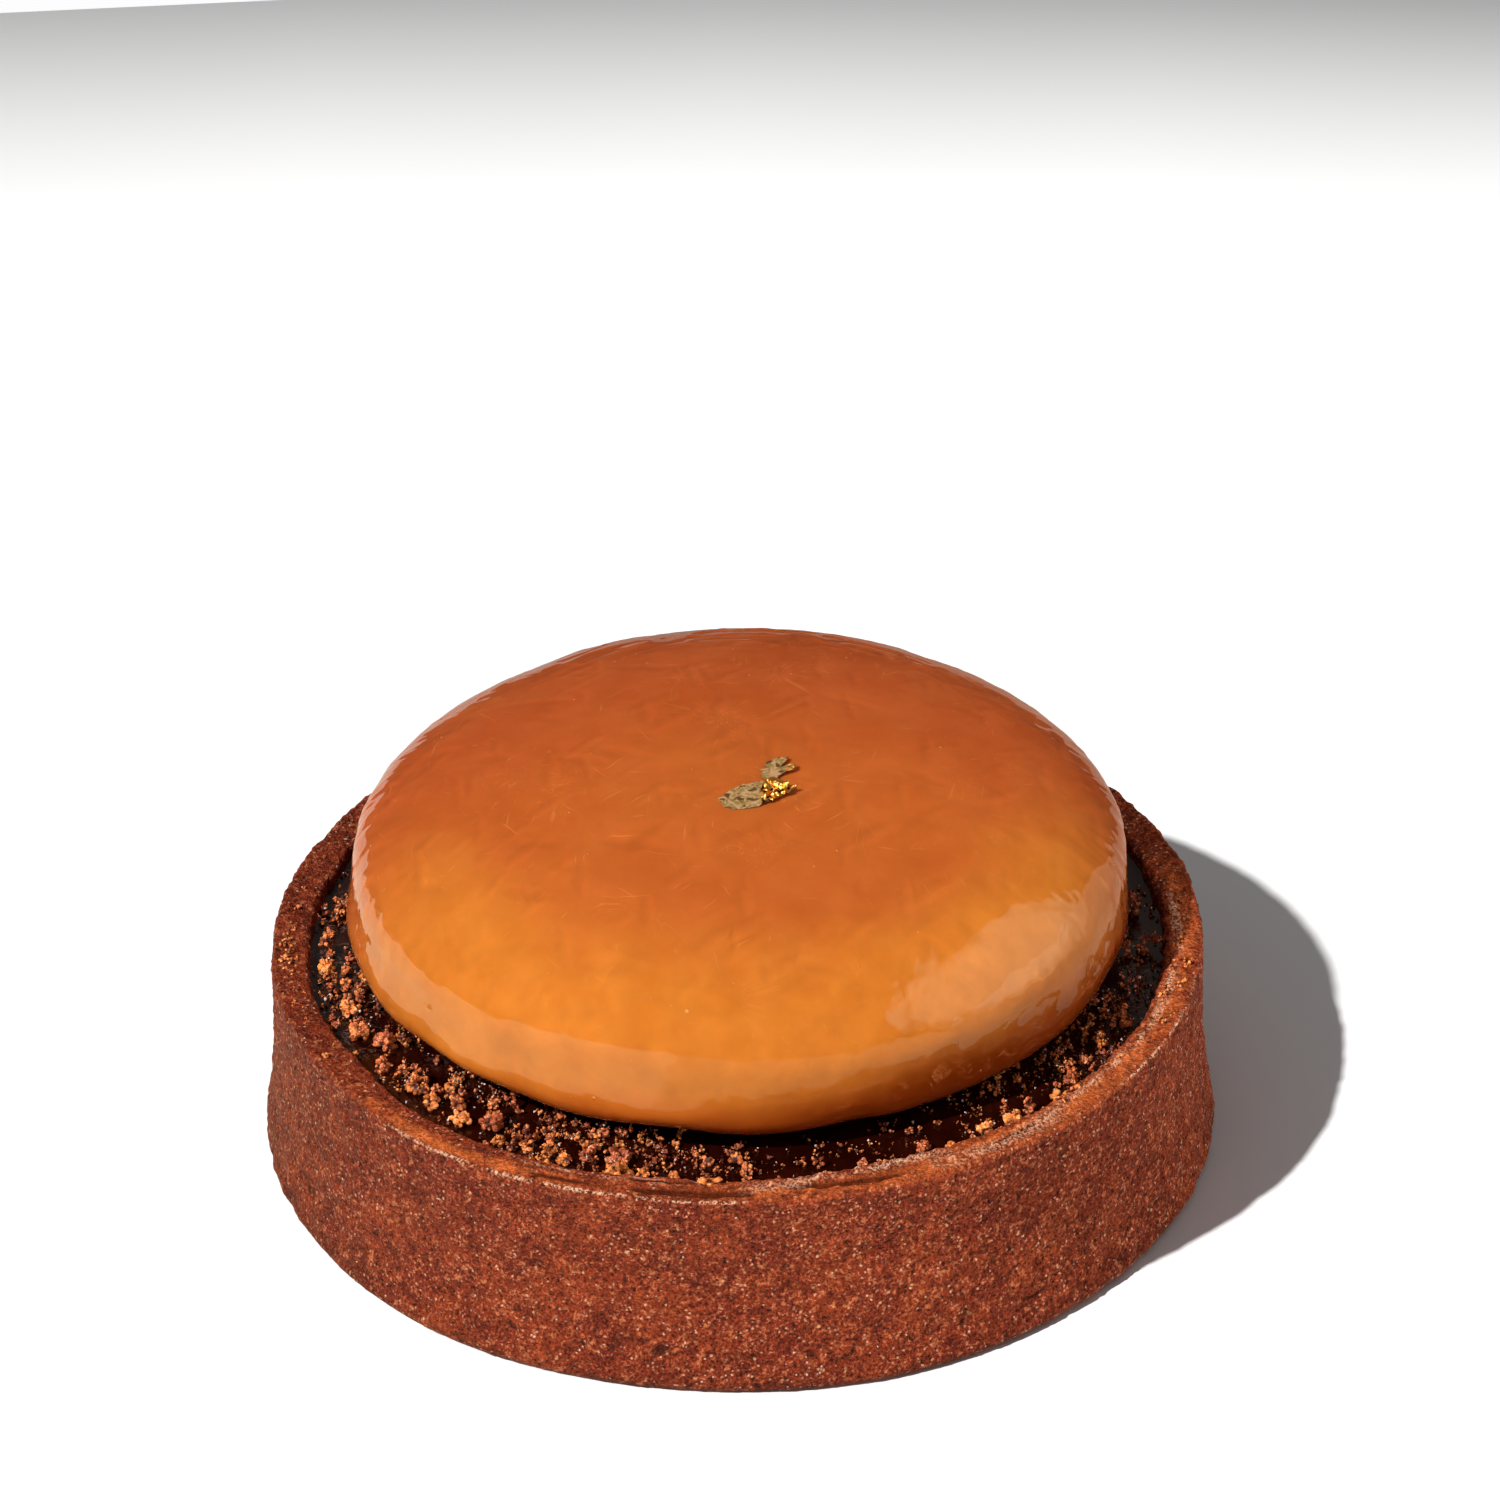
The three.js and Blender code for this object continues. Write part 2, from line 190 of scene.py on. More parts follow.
def turned_object(name, rings, values=None):
    """A closed solid of rings (rows, columns, xyz) from its underside's middle out, up and back over its top.

    A fan to the mean of the ring closes the first and the last.
    """
    rows, columns, _ = rings.shape
    row, column = np.meshgrid(np.arange(rows - 1), np.arange(columns), indexing="ij")
    here = (row * columns + column).ravel()
    beside = (row * columns + (column + 1) % columns).ravel()
    quads = np.stack([here, beside, beside + columns, here + columns], axis=1).tolist()
    first, last = rows * columns, rows * columns + 1
    top = (rows - 1) * columns
    fans = [(first, (c + 1) % columns, c) for c in range(columns)]
    fans += [(last, top + c, top + (c + 1) % columns) for c in range(columns)]
    points = np.concatenate([rings.reshape(-1, 3), [rings[0].mean(axis=0)], [rings[-1].mean(axis=0)]])
    at_points = {key: np.concatenate([value.ravel(), [value[0].mean()], [value[-1].mean()]])
                 for key, value in (values or {}).items()}
    return mesh_object(name, points, quads + fans, at_points)


def profile_normals(profile):
    """The outward unit normals of a profile of (radius, height) points that runs as a solid's rings do."""
    points = np.asarray(profile)
    along = np.gradient(points, axis=0)
    along /= np.linalg.norm(along, axis=1, keepdims=True)
    return np.stack([along[:, 1], -along[:, 0]], axis=1)


def swept(profile, columns):
    """Radius, height, the two parts of the outward normal, and angle, each as a (rows, columns) array."""
    points, normals = np.asarray(profile), profile_normals(profile)
    angle = np.linspace(-math.pi, math.pi, columns, endpoint=False)
    spread = [np.repeat(values[:, None], columns, axis=1) for values in (*points.T, *normals.T)]
    return (*spread, np.repeat(angle[None, :], len(points), axis=0))


def rings_of(radius, height, angle, centre=(0.0, 0.0)):
    return np.stack([centre[0] + radius * np.cos(angle), centre[1] + radius * np.sin(angle), height], axis=-1)


# ---- Materials ----


class Shader:
    """One material's nodes. Sizes are given in mm, and colours come from srgb()."""

    def __init__(self, name):
        self.material = bpy.data.materials.new(name)
        self.material.use_nodes = True
        self.tree = self.material.node_tree
        self.surface = self.tree.nodes["Principled BSDF"]
        self.place = self.tree.nodes.new("ShaderNodeTexCoord").outputs["Object"]

    def node(self, kind, inputs=None, **settings):
        made = self.tree.nodes.new(kind)
        for key, value in settings.items():
            setattr(made, key, value)
        for key, value in (inputs or {}).items():
            self.feed(made.inputs[key], value)
        return made

    def feed(self, socket, value):
        if isinstance(value, bpy.types.NodeSocket):
            self.tree.links.new(value, socket)
        else:
            socket.default_value = value

    def set(self, **inputs):
        """Sets the surface's sockets: underscores stand for spaces."""
        for key, value in inputs.items():
            self.feed(self.surface.inputs[key.replace("_", " ").title().replace("Ior", "IOR")], value)

    def attribute(self, name):
        return self.node("ShaderNodeAttribute", attribute_name=name).outputs["Fac"]

    def noise(self, size, detail=2.0, roughness=0.5, at=None):
        inputs = {"Vector": at or self.place, "Scale": 1 / (size * MM)}
        return self.node("ShaderNodeTexNoise", inputs | {"Detail": detail, "Roughness": roughness}).outputs[0]

    def noise_vector(self, size):
        return self.node("ShaderNodeTexNoise", {"Vector": self.place, "Scale": 1 / (size * MM)}).outputs[1]

    def drifted(self, size, reach):
        """The place, moved by up to about reach mm in waves of the given size."""
        return self.vector("ADD", self.place, self.scaled(self.noise_vector(size), 2 * reach * MM))

    def cells(self, size, at=None):
        """Cells of about the size: the distance to a cell's middle, the cell's own colour, and the middle."""
        inputs = {"Vector": at or self.place, "Scale": 1 / (size * MM)}
        outputs = self.node("ShaderNodeTexVoronoi", inputs).outputs
        return outputs["Distance"], outputs["Color"], outputs["Position"]

    def ramp(self, value, low, high, start=0.0, end=1.0):
        inputs = {"Value": value, "From Min": low, "From Max": high, "To Min": start, "To Max": end}
        return self.node("ShaderNodeMapRange", inputs).outputs[0]

    def math(self, operation, a, b=0.0):
        return self.node("ShaderNodeMath", {0: a, 1: b}, operation=operation).outputs[0]

    def times(self, *values):
        product = values[0]
        for value in values[1:]:
            product = self.math("MULTIPLY", product, value)
        return product

    def vector(self, operation, a, b=(0.0, 0.0, 0.0)):
        return self.node("ShaderNodeVectorMath", {0: a, 1: b}, operation=operation).outputs[0]

    def scaled(self, vector, factor):
        return self.node("ShaderNodeVectorMath", {0: vector, "Scale": factor}, operation="SCALE").outputs[0]

    def turned(self, vector, turn):
        """A place turned about the upright axis by an angle in degrees."""
        inputs = {"Vector": vector, "Angle": math.radians(turn)}
        return self.node("ShaderNodeVectorRotate", inputs, rotation_type="Z_AXIS").outputs[0]

    def split(self, vector):
        return self.node("ShaderNodeSeparateXYZ", {0: vector}).outputs

    def mix(self, share, a, b):
        return self.node("ShaderNodeMix", {0: share, 6: a, 7: b}, data_type="RGBA").outputs[2]

    def bump(self, height, depth, before=None):
        """A bump of the given depth in mm for a height from 0 to 1."""
        inputs = {"Height": height, "Distance": depth * MM, "Strength": 1.0}
        if before is not None:
            inputs["Normal"] = before
        return self.node("ShaderNodeBump", inputs).outputs[0]


# ---- Shell ----


def wall_wave(angle):
    """How far the whole wall stands in or out at an angle, as rolled dough pressed into a ring does."""
    return 0.12 * np.sin(2 * angle - 1.0) + 0.12 * np.sin(3 * angle + 2.6) + 0.08 * np.sin(7 * angle - 2.0)


def foot_wave(degrees):
    """How much farther the dough has slumped at the foot, most of all at the front."""
    return 0.45 * heap(degrees, -82, 42) + 0.1 * np.sin(np.radians(5 * degrees + 40))


def inner_wave(degrees):
    """How far the wall's inside lies farther out than INNER_RADIUS."""
    return heaps(degrees, [(-136, 0.4, 7), (-165, 0.3, 9), (-113, 0.4, 7), (-71, -0.25, 9)], start=0.1)


def rim_wave(angle):
    return 0.16 * np.sin(angle + 0.9) + 0.12 * np.sin(4 * angle + 1.2) + 0.08 * np.sin(9 * angle)


SHELL_COLUMNS = 1180
WALL_STEP = 0.21
RIM_STEP = 0.15
# The light on the wall, for srgb()
WALL_LIGHT = 1.4
# How far the crust's grit, slits and marks stand out or in, in mm
GRIT_RELIEF = 0.095
SLIT_DEPTH = 0.22
BROWN_DEPTH = 0.34
SCRAPE_DEPTH = 0.26
PALE_RELIEF = 0.14
SMEAR_RELIEF = 0.07
# The heights between which the relief inside fades out, under the ganache
INSIDE_FADE = (14.5, 15.5)
# Marks of the knife and the tin on the rim: kind, first and last direction, fade, distance from the middle at
# each of those, half width, and strength
RIM_MARKS = [
    ("pale", -141, -112, 4, 40.05, 39.95, 0.16, 0.9), ("pale", -112, -89, 1.5, 39.9, 39.85, 0.08, 1.0),
    ("pale", -119, -96, 4, 37.8, 37.7, 0.35, 0.4), ("pale", -90, -82, 2, 38.2, 38.0, 0.9, 0.35),
    ("pale", -82, -64, 3, 37.3, 37.2, 0.5, 0.75), ("pale", -66, -46, 3, 38.8, 38.4, 0.9, 0.5),
    ("pale", -37, -5, 3, 39.8, 39.75, 0.07, 0.8), ("pale", -46, 6, 4, 37.7, 37.9, 0.5, 0.55),
    ("brown", -116, -108, 2, 39.0, 39.0, 0.3, 0.8), ("brown", -103, -88.5, 2, 38.9, 38.8, 0.42, 1.0),
    ("brown", -84, -70, 3, 38.2, 38.8, 0.38, 1.0), ("brown", -56, -50, 1, 38.2, 38.2, 0.15, 1.0),
    ("rust", -141, -112, 5, 39.3, 39.2, 0.6, 1.0), ("rust", -90, -60, 3, 38.8, 39.0, 0.55, 0.65),
    ("rust", -59, -50, 2, 37.8, 37.8, 0.25, 1.0), ("rust", -48, 14, 5, 38.3, 38.5, 0.9, 0.6),
    ("scraped", -104, -94, 1.5, 37.5, 37.4, 0.34, 1.0),
]


def shell_profile():
    wall_top = SHELL_HEIGHT - RIM_OUTER_ROUND
    inner_top = SHELL_HEIGHT - RIM_INNER_ROUND
    rise, slump = wall_top - FOOT_ROUND, FOOT_RADIUS - RIM_RADIUS
    share = np.linspace(0, 1, math.ceil(rise / WALL_STEP) + 1)[1:-1]
    wall = [(RIM_RADIUS + slump * (1 - t) ** FLARE_POWER, FOOT_ROUND + rise * t) for t in share]
    return [
        (12.0, 0.0), (26.0, 0.0), (36.0, 0.0),
        *arc((FOOT_RADIUS - FOOT_ROUND, FOOT_ROUND), FOOT_ROUND, -90, 0, 7),
        *wall,
        *arc((RIM_RADIUS - RIM_OUTER_ROUND, wall_top), RIM_OUTER_ROUND, 0, 90, 5),
        *line((RIM_RADIUS - RIM_OUTER_ROUND, SHELL_HEIGHT), (INNER_RADIUS + RIM_INNER_ROUND, SHELL_HEIGHT),
              RIM_STEP)[1:],
        *arc((INNER_RADIUS + RIM_INNER_ROUND, inner_top), RIM_INNER_ROUND, 90, 180, 11),
        *line((INNER_RADIUS, inner_top), (INNER_RADIUS, GANACHE_LEVEL - 1.5), WALL_STEP)[1:],
        (INNER_RADIUS, 9.0), (INNER_RADIUS, FLOOR_THICKNESS),
        (24.0, FLOOR_THICKNESS), (10.0, FLOOR_THICKNESS),
    ]


def rim_marks(kind, distance, degrees):
    """How strongly the marks of one kind show on the rim, from 0 to 1."""
    total = 0.0
    for mark, start, end, fade, first, last, width, strength in RIM_MARKS:
        if mark == kind:
            middle = first + (last - first) * np.clip((degrees - start) / (end - start), 0, 1)
            total = total + strength * stretch(degrees, start, end, fade) * ridge(distance, middle, width)
    return np.clip(total, 0, 1)


def make_shell():
    radius, height, out, up, angle = swept(shell_profile(), SHELL_COLUMNS)
    degrees = np.degrees(angle)
    flat_radius = radius
    on_wall = radius > INNER_RADIUS - 1
    low = np.clip(1 - height / SHELL_HEIGHT, 0, 1) ** FLARE_POWER * (radius > RIM_MIDDLE)
    widened = (1 - smoothstep(radius, INNER_RADIUS, INNER_RADIUS + 1.5)) * on_wall * inner_wave(degrees)
    radius = radius + np.where(on_wall, wall_wave(angle) + low * foot_wave(degrees) + widened, 0)
    height = height + np.clip((height - FLOOR_THICKNESS) / 15, 0, 1) * rim_wave(angle)
    place = rings_of(radius, height, angle)

    crag = 0.12 * noise(place, 2.6) + 0.11 * noise(place, 1.1, 31.7)
    grit = 0.7 * noise(place, 0.55, 71.3) + 0.9 * noise(place, 0.31, 13.1)
    slits = ridge(noise(place * [1, 1, 3], 1.7, 53.9), 0, 0.14)
    slits = slits * smoothstep(noise(place, 2.0, 17.1), 0.0, 0.35)
    slits = slits * (0.12 + 0.38 * ridge(height, 3.9, 1.6) + 0.2 * ridge(height, 16.5, 1.2))

    on_top = smoothstep(up, 0.1, 0.5) * smoothstep(height, 17.5, 18.0)
    torn = 0.5 * noise(place, 2.6, 4.4) + 0.5 * noise(place, 0.6, 8.8) + 0.4 * noise(place, 0.3, 2.9)
    wander = 0.22 * noise(place, 4.0, 2.2) + 0.1 * noise(place, 0.8, 6.3)
    outer = smoothstep(flat_radius, 39.2, 39.6)
    distance = flat_radius - wander * (1 - 0.75 * outer)
    pale = rim_marks("pale", distance, degrees) * smoothstep(torn, -0.55, 0.15) * on_top
    brown = rim_marks("brown", distance, degrees) * on_top
    rust = 0.35 * heap(degrees, -60, 50) + rim_marks("rust", distance, degrees)
    rust = rust * smoothstep(torn, -0.7, 0.2) * on_top
    scraped = rim_marks("scraped", distance, degrees) * on_top
    smears = noise(np.stack([angle * RIM_RADIUS / 3.5, flat_radius / 0.2, height], axis=-1), 1.0, 7.1)

    shown = smoothstep(height, 0.02, FOOT_ROUND) * on_wall
    shown = shown * smoothstep(height, *INSIDE_FADE) ** (radius < RIM_MIDDLE)
    smooth = 1 - 0.7 * np.clip(brown + scraped, 0, 1)
    relief = (crag + GRIT_RELIEF * grit) * smooth
    relief = relief - SLIT_DEPTH * slits - BROWN_DEPTH * brown - SCRAPE_DEPTH * scraped
    relief = relief + PALE_RELIEF * pale * (1 + grit) * (1 - 0.4 * outer)
    relief = relief + SMEAR_RELIEF * smears * (brown + scraped)
    radius = radius + shown * relief * out
    height = height + shown * relief * up

    piece = turned_object("shell_crust", rings_of(radius, height, angle), {
        "grit": np.clip(0.5 + 0.42 * grit * smooth + 0.4 * crag, 0, 1),
        "slit": slits,
        "pale": pale,
        "brown": brown,
        "rust": rust,
        "scraped": scraped,
        "smear": np.clip(0.5 + 0.5 * smears, 0, 1),
        # Painted shade: how much the wall is darkened near the floor, under its rounded foot.
        "painted_foot_shade": (1 - smoothstep(height, 0.5, 3.2)) * (radius > RIM_MIDDLE),
    })
    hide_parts("tart_shell")
    return piece


def crust_material():
    m = Shader("cocoa_crust")
    tint = partial(srgb, light=WALL_LIGHT)
    grit, brown, smear, scraped = (m.attribute(name) for name in ("grit", "brown", "smear", "scraped"))
    base = m.mix(m.ramp(m.noise(5.0, 3.0), 0.36, 0.64), tint(136, 47, 21), tint(160, 63, 27))
    base = m.mix(m.ramp(m.noise(2.2, 3.0), 0.34, 0.6, 0.4, 0.0), base, tint(104, 32, 15))

    sand = m.noise(0.26, 2.0, 0.75)
    coarse = m.noise(0.55, 2.0, 0.6, at=m.vector("ADD", m.place, (7 * MM, 3 * MM, 5 * MM)))
    patches = m.ramp(m.noise(1.6, 2.0), 0.4, 0.56, 0.2, 1.0)
    # Painted light and shade: over its own grain-sized tone, the crust is darker in the hollows of its relief
    # and bump and lighter on their tops.
    base = m.scaled(base, m.times(m.ramp(grit, 0.0, 1.0, 0.62, 1.38), m.ramp(sand, 0.36, 0.64, 0.5, 1.5)))
    pale = m.times(m.ramp(sand, 0.585, 0.63), m.ramp(grit, 0.25, 0.7), patches)
    base = m.mix(m.times(pale, 0.5), base, tint(250, 178, 130))
    tan = m.times(m.ramp(coarse, 0.58, 0.66), m.ramp(grit, 0.2, 0.6))
    base = m.mix(m.times(tan, 0.75), base, tint(228, 130, 78))
    distance, colour, _ = m.cells(0.38, m.drifted(0.5, 0.15))
    dots = m.times(m.ramp(distance, 0.4, 0.22), m.ramp(m.split(colour)[1], 0.76, 0.8), patches)
    base = m.mix(m.times(dots, 0.85), base, tint(255, 184, 138))
    # Painted shade: the deepest hollows of the relief and bump are darkened.
    dark = m.times(m.ramp(sand, 0.45, 0.38), m.ramp(grit, 0.65, 0.25))
    base = m.mix(m.times(dark, 0.85), base, tint(44, 13, 8))
    # Painted shade in the slits, which are also cut into the wall.
    base = m.mix(m.ramp(m.attribute("slit"), 0.1, 0.6, 0.0, 0.9), base, tint(26, 8, 6))
    # Painted shade: the wall is darker near its foot and towards the left.
    at_left = m.ramp(m.split(m.place)[0], -40 * MM, -26 * MM, 0.88, 1.0)
    base = m.scaled(base, m.times(m.ramp(m.attribute("painted_foot_shade"), 0.0, 1.0, 1.0, 0.82), at_left))

    spread = m.times(m.ramp(grit, 0.0, 1.0, 0.6, 1.4), m.ramp(sand, 0.36, 0.64, 0.6, 1.4))
    rust = m.scaled(tint(234, 117, 52)[:3], spread)
    base = m.mix(m.times(m.attribute("rust"), 0.8), base, rust)
    streaks = m.times(m.ramp(m.noise(0.5, 3.0), 0.3, 0.7, 0.6, 1.4), m.ramp(smear, 0.2, 0.8, 0.6, 1.5))
    base = m.mix(m.ramp(brown, 0.15, 0.6), base, m.scaled(tint(104, 38, 8)[:3], streaks))
    worn = m.times(m.ramp(m.attribute("pale"), 0.1, 0.6), m.ramp(sand, 0.46, 0.56))
    base = m.mix(m.times(worn, 0.9), base, tint(255, 208, 170))
    base = m.mix(m.times(scraped, m.ramp(smear, 0.55, 0.4)), base, tint(44, 16, 12))
    # Painted highlight: a pale sheen on the scraped chocolate smears.
    base = m.mix(m.times(scraped, m.ramp(smear, 0.62, 0.75)), base, tint(226, 196, 176))

    distance, colour, _ = m.cells(0.5, m.drifted(0.6, 0.2))
    speck = m.times(m.ramp(distance, 0.22, 0.1), m.ramp(m.split(colour)[2], 0.85, 0.87))
    speck = m.times(speck, m.ramp(m.noise(3.0, 2.0), 0.42, 0.58))
    base = m.mix(m.times(speck, 0.9), base, tint(255, 230, 206))

    dry = m.ramp(m.math("MAXIMUM", brown, scraped), 0.0, 1.0, 0.6, 0.34)
    m.set(base_color=base, roughness=m.mix(speck, dry, (0.25, 0.25, 0.25, 1)), normal=m.bump(sand, 0.5))
    m.set(specular_ior_level=0.14)
    return m.material


# ---- Ganache ----


GANACHE_COLUMNS = 420
GANACHE_STEP = 0.35
# Where it climbs the wall: how high, and how far from the wall
MENISCUS = 0.35
MENISCUS_WIDTH = 0.45


def make_ganache():
    edge = INNER_RADIUS + 0.3  # before the wall's inside wanders
    low = FLOOR_THICKNESS + 0.2
    profile = [
        (12.0, low), (30.0, low), (edge - 0.6, low), (edge - 0.5, 9.0), (edge - 0.4, 15.0),
        (edge, GANACHE_LEVEL - 0.3), (edge, GANACHE_LEVEL),
        *line((edge - 0.2, GANACHE_LEVEL), (24.0, GANACHE_LEVEL), GANACHE_STEP), (12.0, GANACHE_LEVEL),
    ]
    radius, height, _, _, angle = swept(profile, GANACHE_COLUMNS)
    outward = np.where(radius > INNER_RADIUS - 1, wall_wave(angle) + inner_wave(np.degrees(angle)), 0)
    climbing = np.exp(-np.clip(edge - radius, 0, 9) / MENISCUS_WIDTH)
    radius = radius + outward
    place = rings_of(radius, height, angle)
    on_top = smoothstep(height, GANACHE_LEVEL - 0.4, GANACHE_LEVEL - 0.01)
    climb = MENISCUS * climbing * (0.7 + 0.5 * noise(place, 3.0, 6.1))
    swell = 0.05 * noise(place, 5.0, 12.3) + 0.018 * noise(place, 1.8, 44.1)
    height = height + on_top * (climb + swell)
    degrees = np.degrees(angle)
    # Painted sheen: grey patches at the left and the right of the ganache.
    painted_sheen = heap(degrees, -172, 22) + heap(degrees, -16, 16)
    painted_sheen = np.clip(painted_sheen * smoothstep(noise(place, 1.6, 9.9), -0.25, 0.35), 0, 1)
    piece = turned_object("ganache_filling", rings_of(radius, height, angle), {"painted_sheen": painted_sheen})
    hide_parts("ganache_with_crumbs")
    return piece


def ganache_material():
    m = Shader("dark_ganache")
    smear = m.noise(2.6, 3.0)
    base = m.mix(m.ramp(smear, 0.35, 0.7), srgb(24, 3, 1), srgb(40, 8, 3))
    # Painted sheen, in fine grey specks.
    sheen_specks = m.times(m.attribute("painted_sheen"), m.ramp(m.noise(0.3, 2.0), 0.52, 0.6))
    base = m.mix(m.times(sheen_specks, 0.8), base, srgb(100, 76, 66))
    m.set(base_color=base, roughness=m.ramp(smear, 0.3, 0.7, 0.08, 0.2), ior=1.45)
    m.set(normal=m.bump(m.noise(0.9, 2.0), 0.02))
    return m.material


# ---- Crumbs ----


CRUMB_SEED = 20711
# The lumps that stand out, from the left round the front to the right: direction, distance from the tart's
# middle, radius, and tone from 0, dark brown, to 1, orange
LANDMARK_CRUMBS = [
    (171, 34.6, 0.86, 0.6), (177, 35.2, 0.63, 0.7), (182, 34.9, 0.69, 0.5), (186, 35.3, 0.86, 0.85),
    (190, 33.9, 0.63, 0.6), (197, 34.4, 1.03, 0.8), (203, 34.6, 1.09, 0.6), (207, 33.4, 1.03, 0.35),
    (212, 35.2, 0.92, 0.4), (214, 33.8, 0.69, 0.5), (219, 34.4, 1.26, 0.7), (223, 35.0, 1.09, 0.8),
    (226, 33.6, 0.92, 0.6), (229, 35.1, 0.98, 0.85), (233, 33.9, 1.15, 0.3), (236, 35.6, 0.69, 0.8),
    (240, 34.8, 0.86, 0.75), (243, 34.2, 0.75, 0.6), (246, 35.4, 0.92, 0.9), (249, 34.4, 1.09, 0.3),
    (253, 33.9, 1.21, 0.15), (254, 36.0, 1.32, 0.95), (257, 35.7, 0.8, 0.9), (261, 35.9, 0.92, 0.7),
    (266, 36.6, 1.26, 0.95), (271, 35.6, 0.57, 0.8), (281, 36.0, 0.75, 0.7),
    (287, 34.7, 0.57, 0.3), (289, 35.7, 0.75, 0.85), (296, 34.6, 0.86, 0.35), (299, 35.8, 0.75, 0.7),
    (305, 35.4, 1.03, 0.9), (309, 36.2, 1.26, 1.0), (313, 35.2, 0.69, 0.5), (318, 36.0, 0.92, 0.95),
    (322, 35.0, 0.86, 0.4), (327, 34.6, 0.69, 0.3), (338, 35.3, 0.75, 0.4),
]
# How often their balls are subdivided, and the grains in each
LUMP_DETAIL, LUMP_GRAINS = 5, 34
# The other kinds of crumb, from the largest: how many, radius range in mm, subdivisions, and grains in each
CRUMB_KINDS = {
    "crumbs_small": (130, (0.42, 0.75), 4, 16),
    "crumbs_medium": (520, (0.26, 0.5), 3, 8),
    "crumb_grains": (600, (0.18, 0.34), 3, 6),
    "crumbs_fine": (2400, (0.08, 0.2), 2, 5),
}
# Some of the fine crumbs are sugar, which the tone past 1 makes almost white
SUGAR_SHARE, SUGAR_TONE = 0.14, 1.3
# Crumbs on the rim: middle direction and spread in degrees, nearest and farthest distance, count
RIM_CRUMBS = [(188, 8, 37.8, 39.4, 46), (317, 3, 36.9, 37.8, 16), (345, 9, 37.2, 39.2, 40)]
# How thickly crumbs lie all round, and how much more round a direction: direction, cover and width
EVEN_COVER = 0.32
DRIFTS = [(195, 0.52, 28), (238, 0.75, 26), (322, 0.65, 20), (350, 0.6, 20), (285, -0.15, 10)]
# How many spots are drawn at a time
BATCH = 4000
# A crumb's core, its middle's height over the ganache, and how near two middles lie, as shares of the radius
CRUMB_CORE = 0.42
CRUMB_REST = 0.45
CRUMB_TOUCH = 0.8
PILE_HEIGHT = 1.9


def scatter(random, count, radii):
    """Places on the ganache as rows of angle in degrees, distance, radius and tone, in clusters."""
    chosen = []
    while len(chosen) < count:
        angle = random.uniform(0, 360, BATCH)
        radius = radii[0] + (radii[1] - radii[0]) * random.random(BATCH) ** 2.2
        inner = DOME_RADIUS - 4.0 + heaps(angle, GLAZE_RUNS) + radius
        away = inner + (INNER_RADIUS + 0.2 - 0.7 * radius - inner) * random.random(BATCH) ** 0.85
        spot = rings_of(away, 0 * away, np.radians(angle))
        clump = 0.5 + 0.9 * noise(spot, 2.6, 7.7) + 0.6 * noise(spot, 1.1, 3.3)
        keep = random.random(BATCH) * 1.5 < heaps(angle, DRIFTS, EVEN_COVER) * np.clip(clump, 0.03, 1.4)
        # Crumbs near 354 degrees are toned darker: painted shade where the dome's shadow falls.
        tone = 0.5 + 0.5 * noise(spot, 1.6, 19.9) - 0.45 * heap(angle, 354, 20)
        tone = tone + random.normal(0, 0.18, BATCH)
        chosen.extend(np.stack([angle, away, radius, np.clip(tone, 0, 1)], axis=1)[keep].tolist())
    return np.array(chosen[:count])


def piled(crumbs):
    """Rows of x, y, z, radius and tone, with each crumb on the ganache or partly on larger ones before it."""
    placed = np.zeros((len(crumbs), 5))
    for n, (angle, away, radius, tone) in enumerate(crumbs):
        x, y = away * math.cos(math.radians(angle)), away * math.sin(math.radians(angle))
        floor = GANACHE_LEVEL + CRUMB_REST * radius
        before = placed[:n]
        gap = np.hypot(before[:, 0] - x, before[:, 1] - y)
        near = gap < CRUMB_TOUCH * (before[:, 3] + radius)
        if near.any():
            touched = before[near]
            reach = CRUMB_TOUCH * (touched[:, 3] + radius)
            top = touched[:, 2] + np.sqrt(np.maximum(reach ** 2 - gap[near] ** 2, 0))
            floor = max(floor, min(top.max(), GANACHE_LEVEL + PILE_HEIGHT))
        placed[n] = x, y, floor, radius, tone
    return placed


def rim_crumbs(random):
    """Crumbs on the rim, as rows of x, y, z, radius and tone."""
    rows = []
    for middle, spread, nearest, farthest, count in RIM_CRUMBS:
        turn = np.radians(random.normal(middle, spread, count))
        away = random.uniform(nearest, farthest, count)
        radius = random.uniform(0.12, 0.42, count)
        rest = SHELL_HEIGHT + rim_wave(turn) + 0.2 * radius
        tone = random.uniform(0.6, 1.0, count)
        rows.append(np.column_stack([rings_of(away, rest, turn), radius, tone]))
    return np.concatenate(rows)


def unit_ball(detail):
    """The points and triangles of a subdivided icosahedron of radius 1."""
    ball = bmesh.new()
    bmesh.ops.create_icosphere(ball, subdivisions=detail, radius=1)
    points = np.array([v.co[:] for v in ball.verts])
    faces = np.array([[v.index for v in f.verts] for f in ball.faces])
    ball.free()
    return points, faces


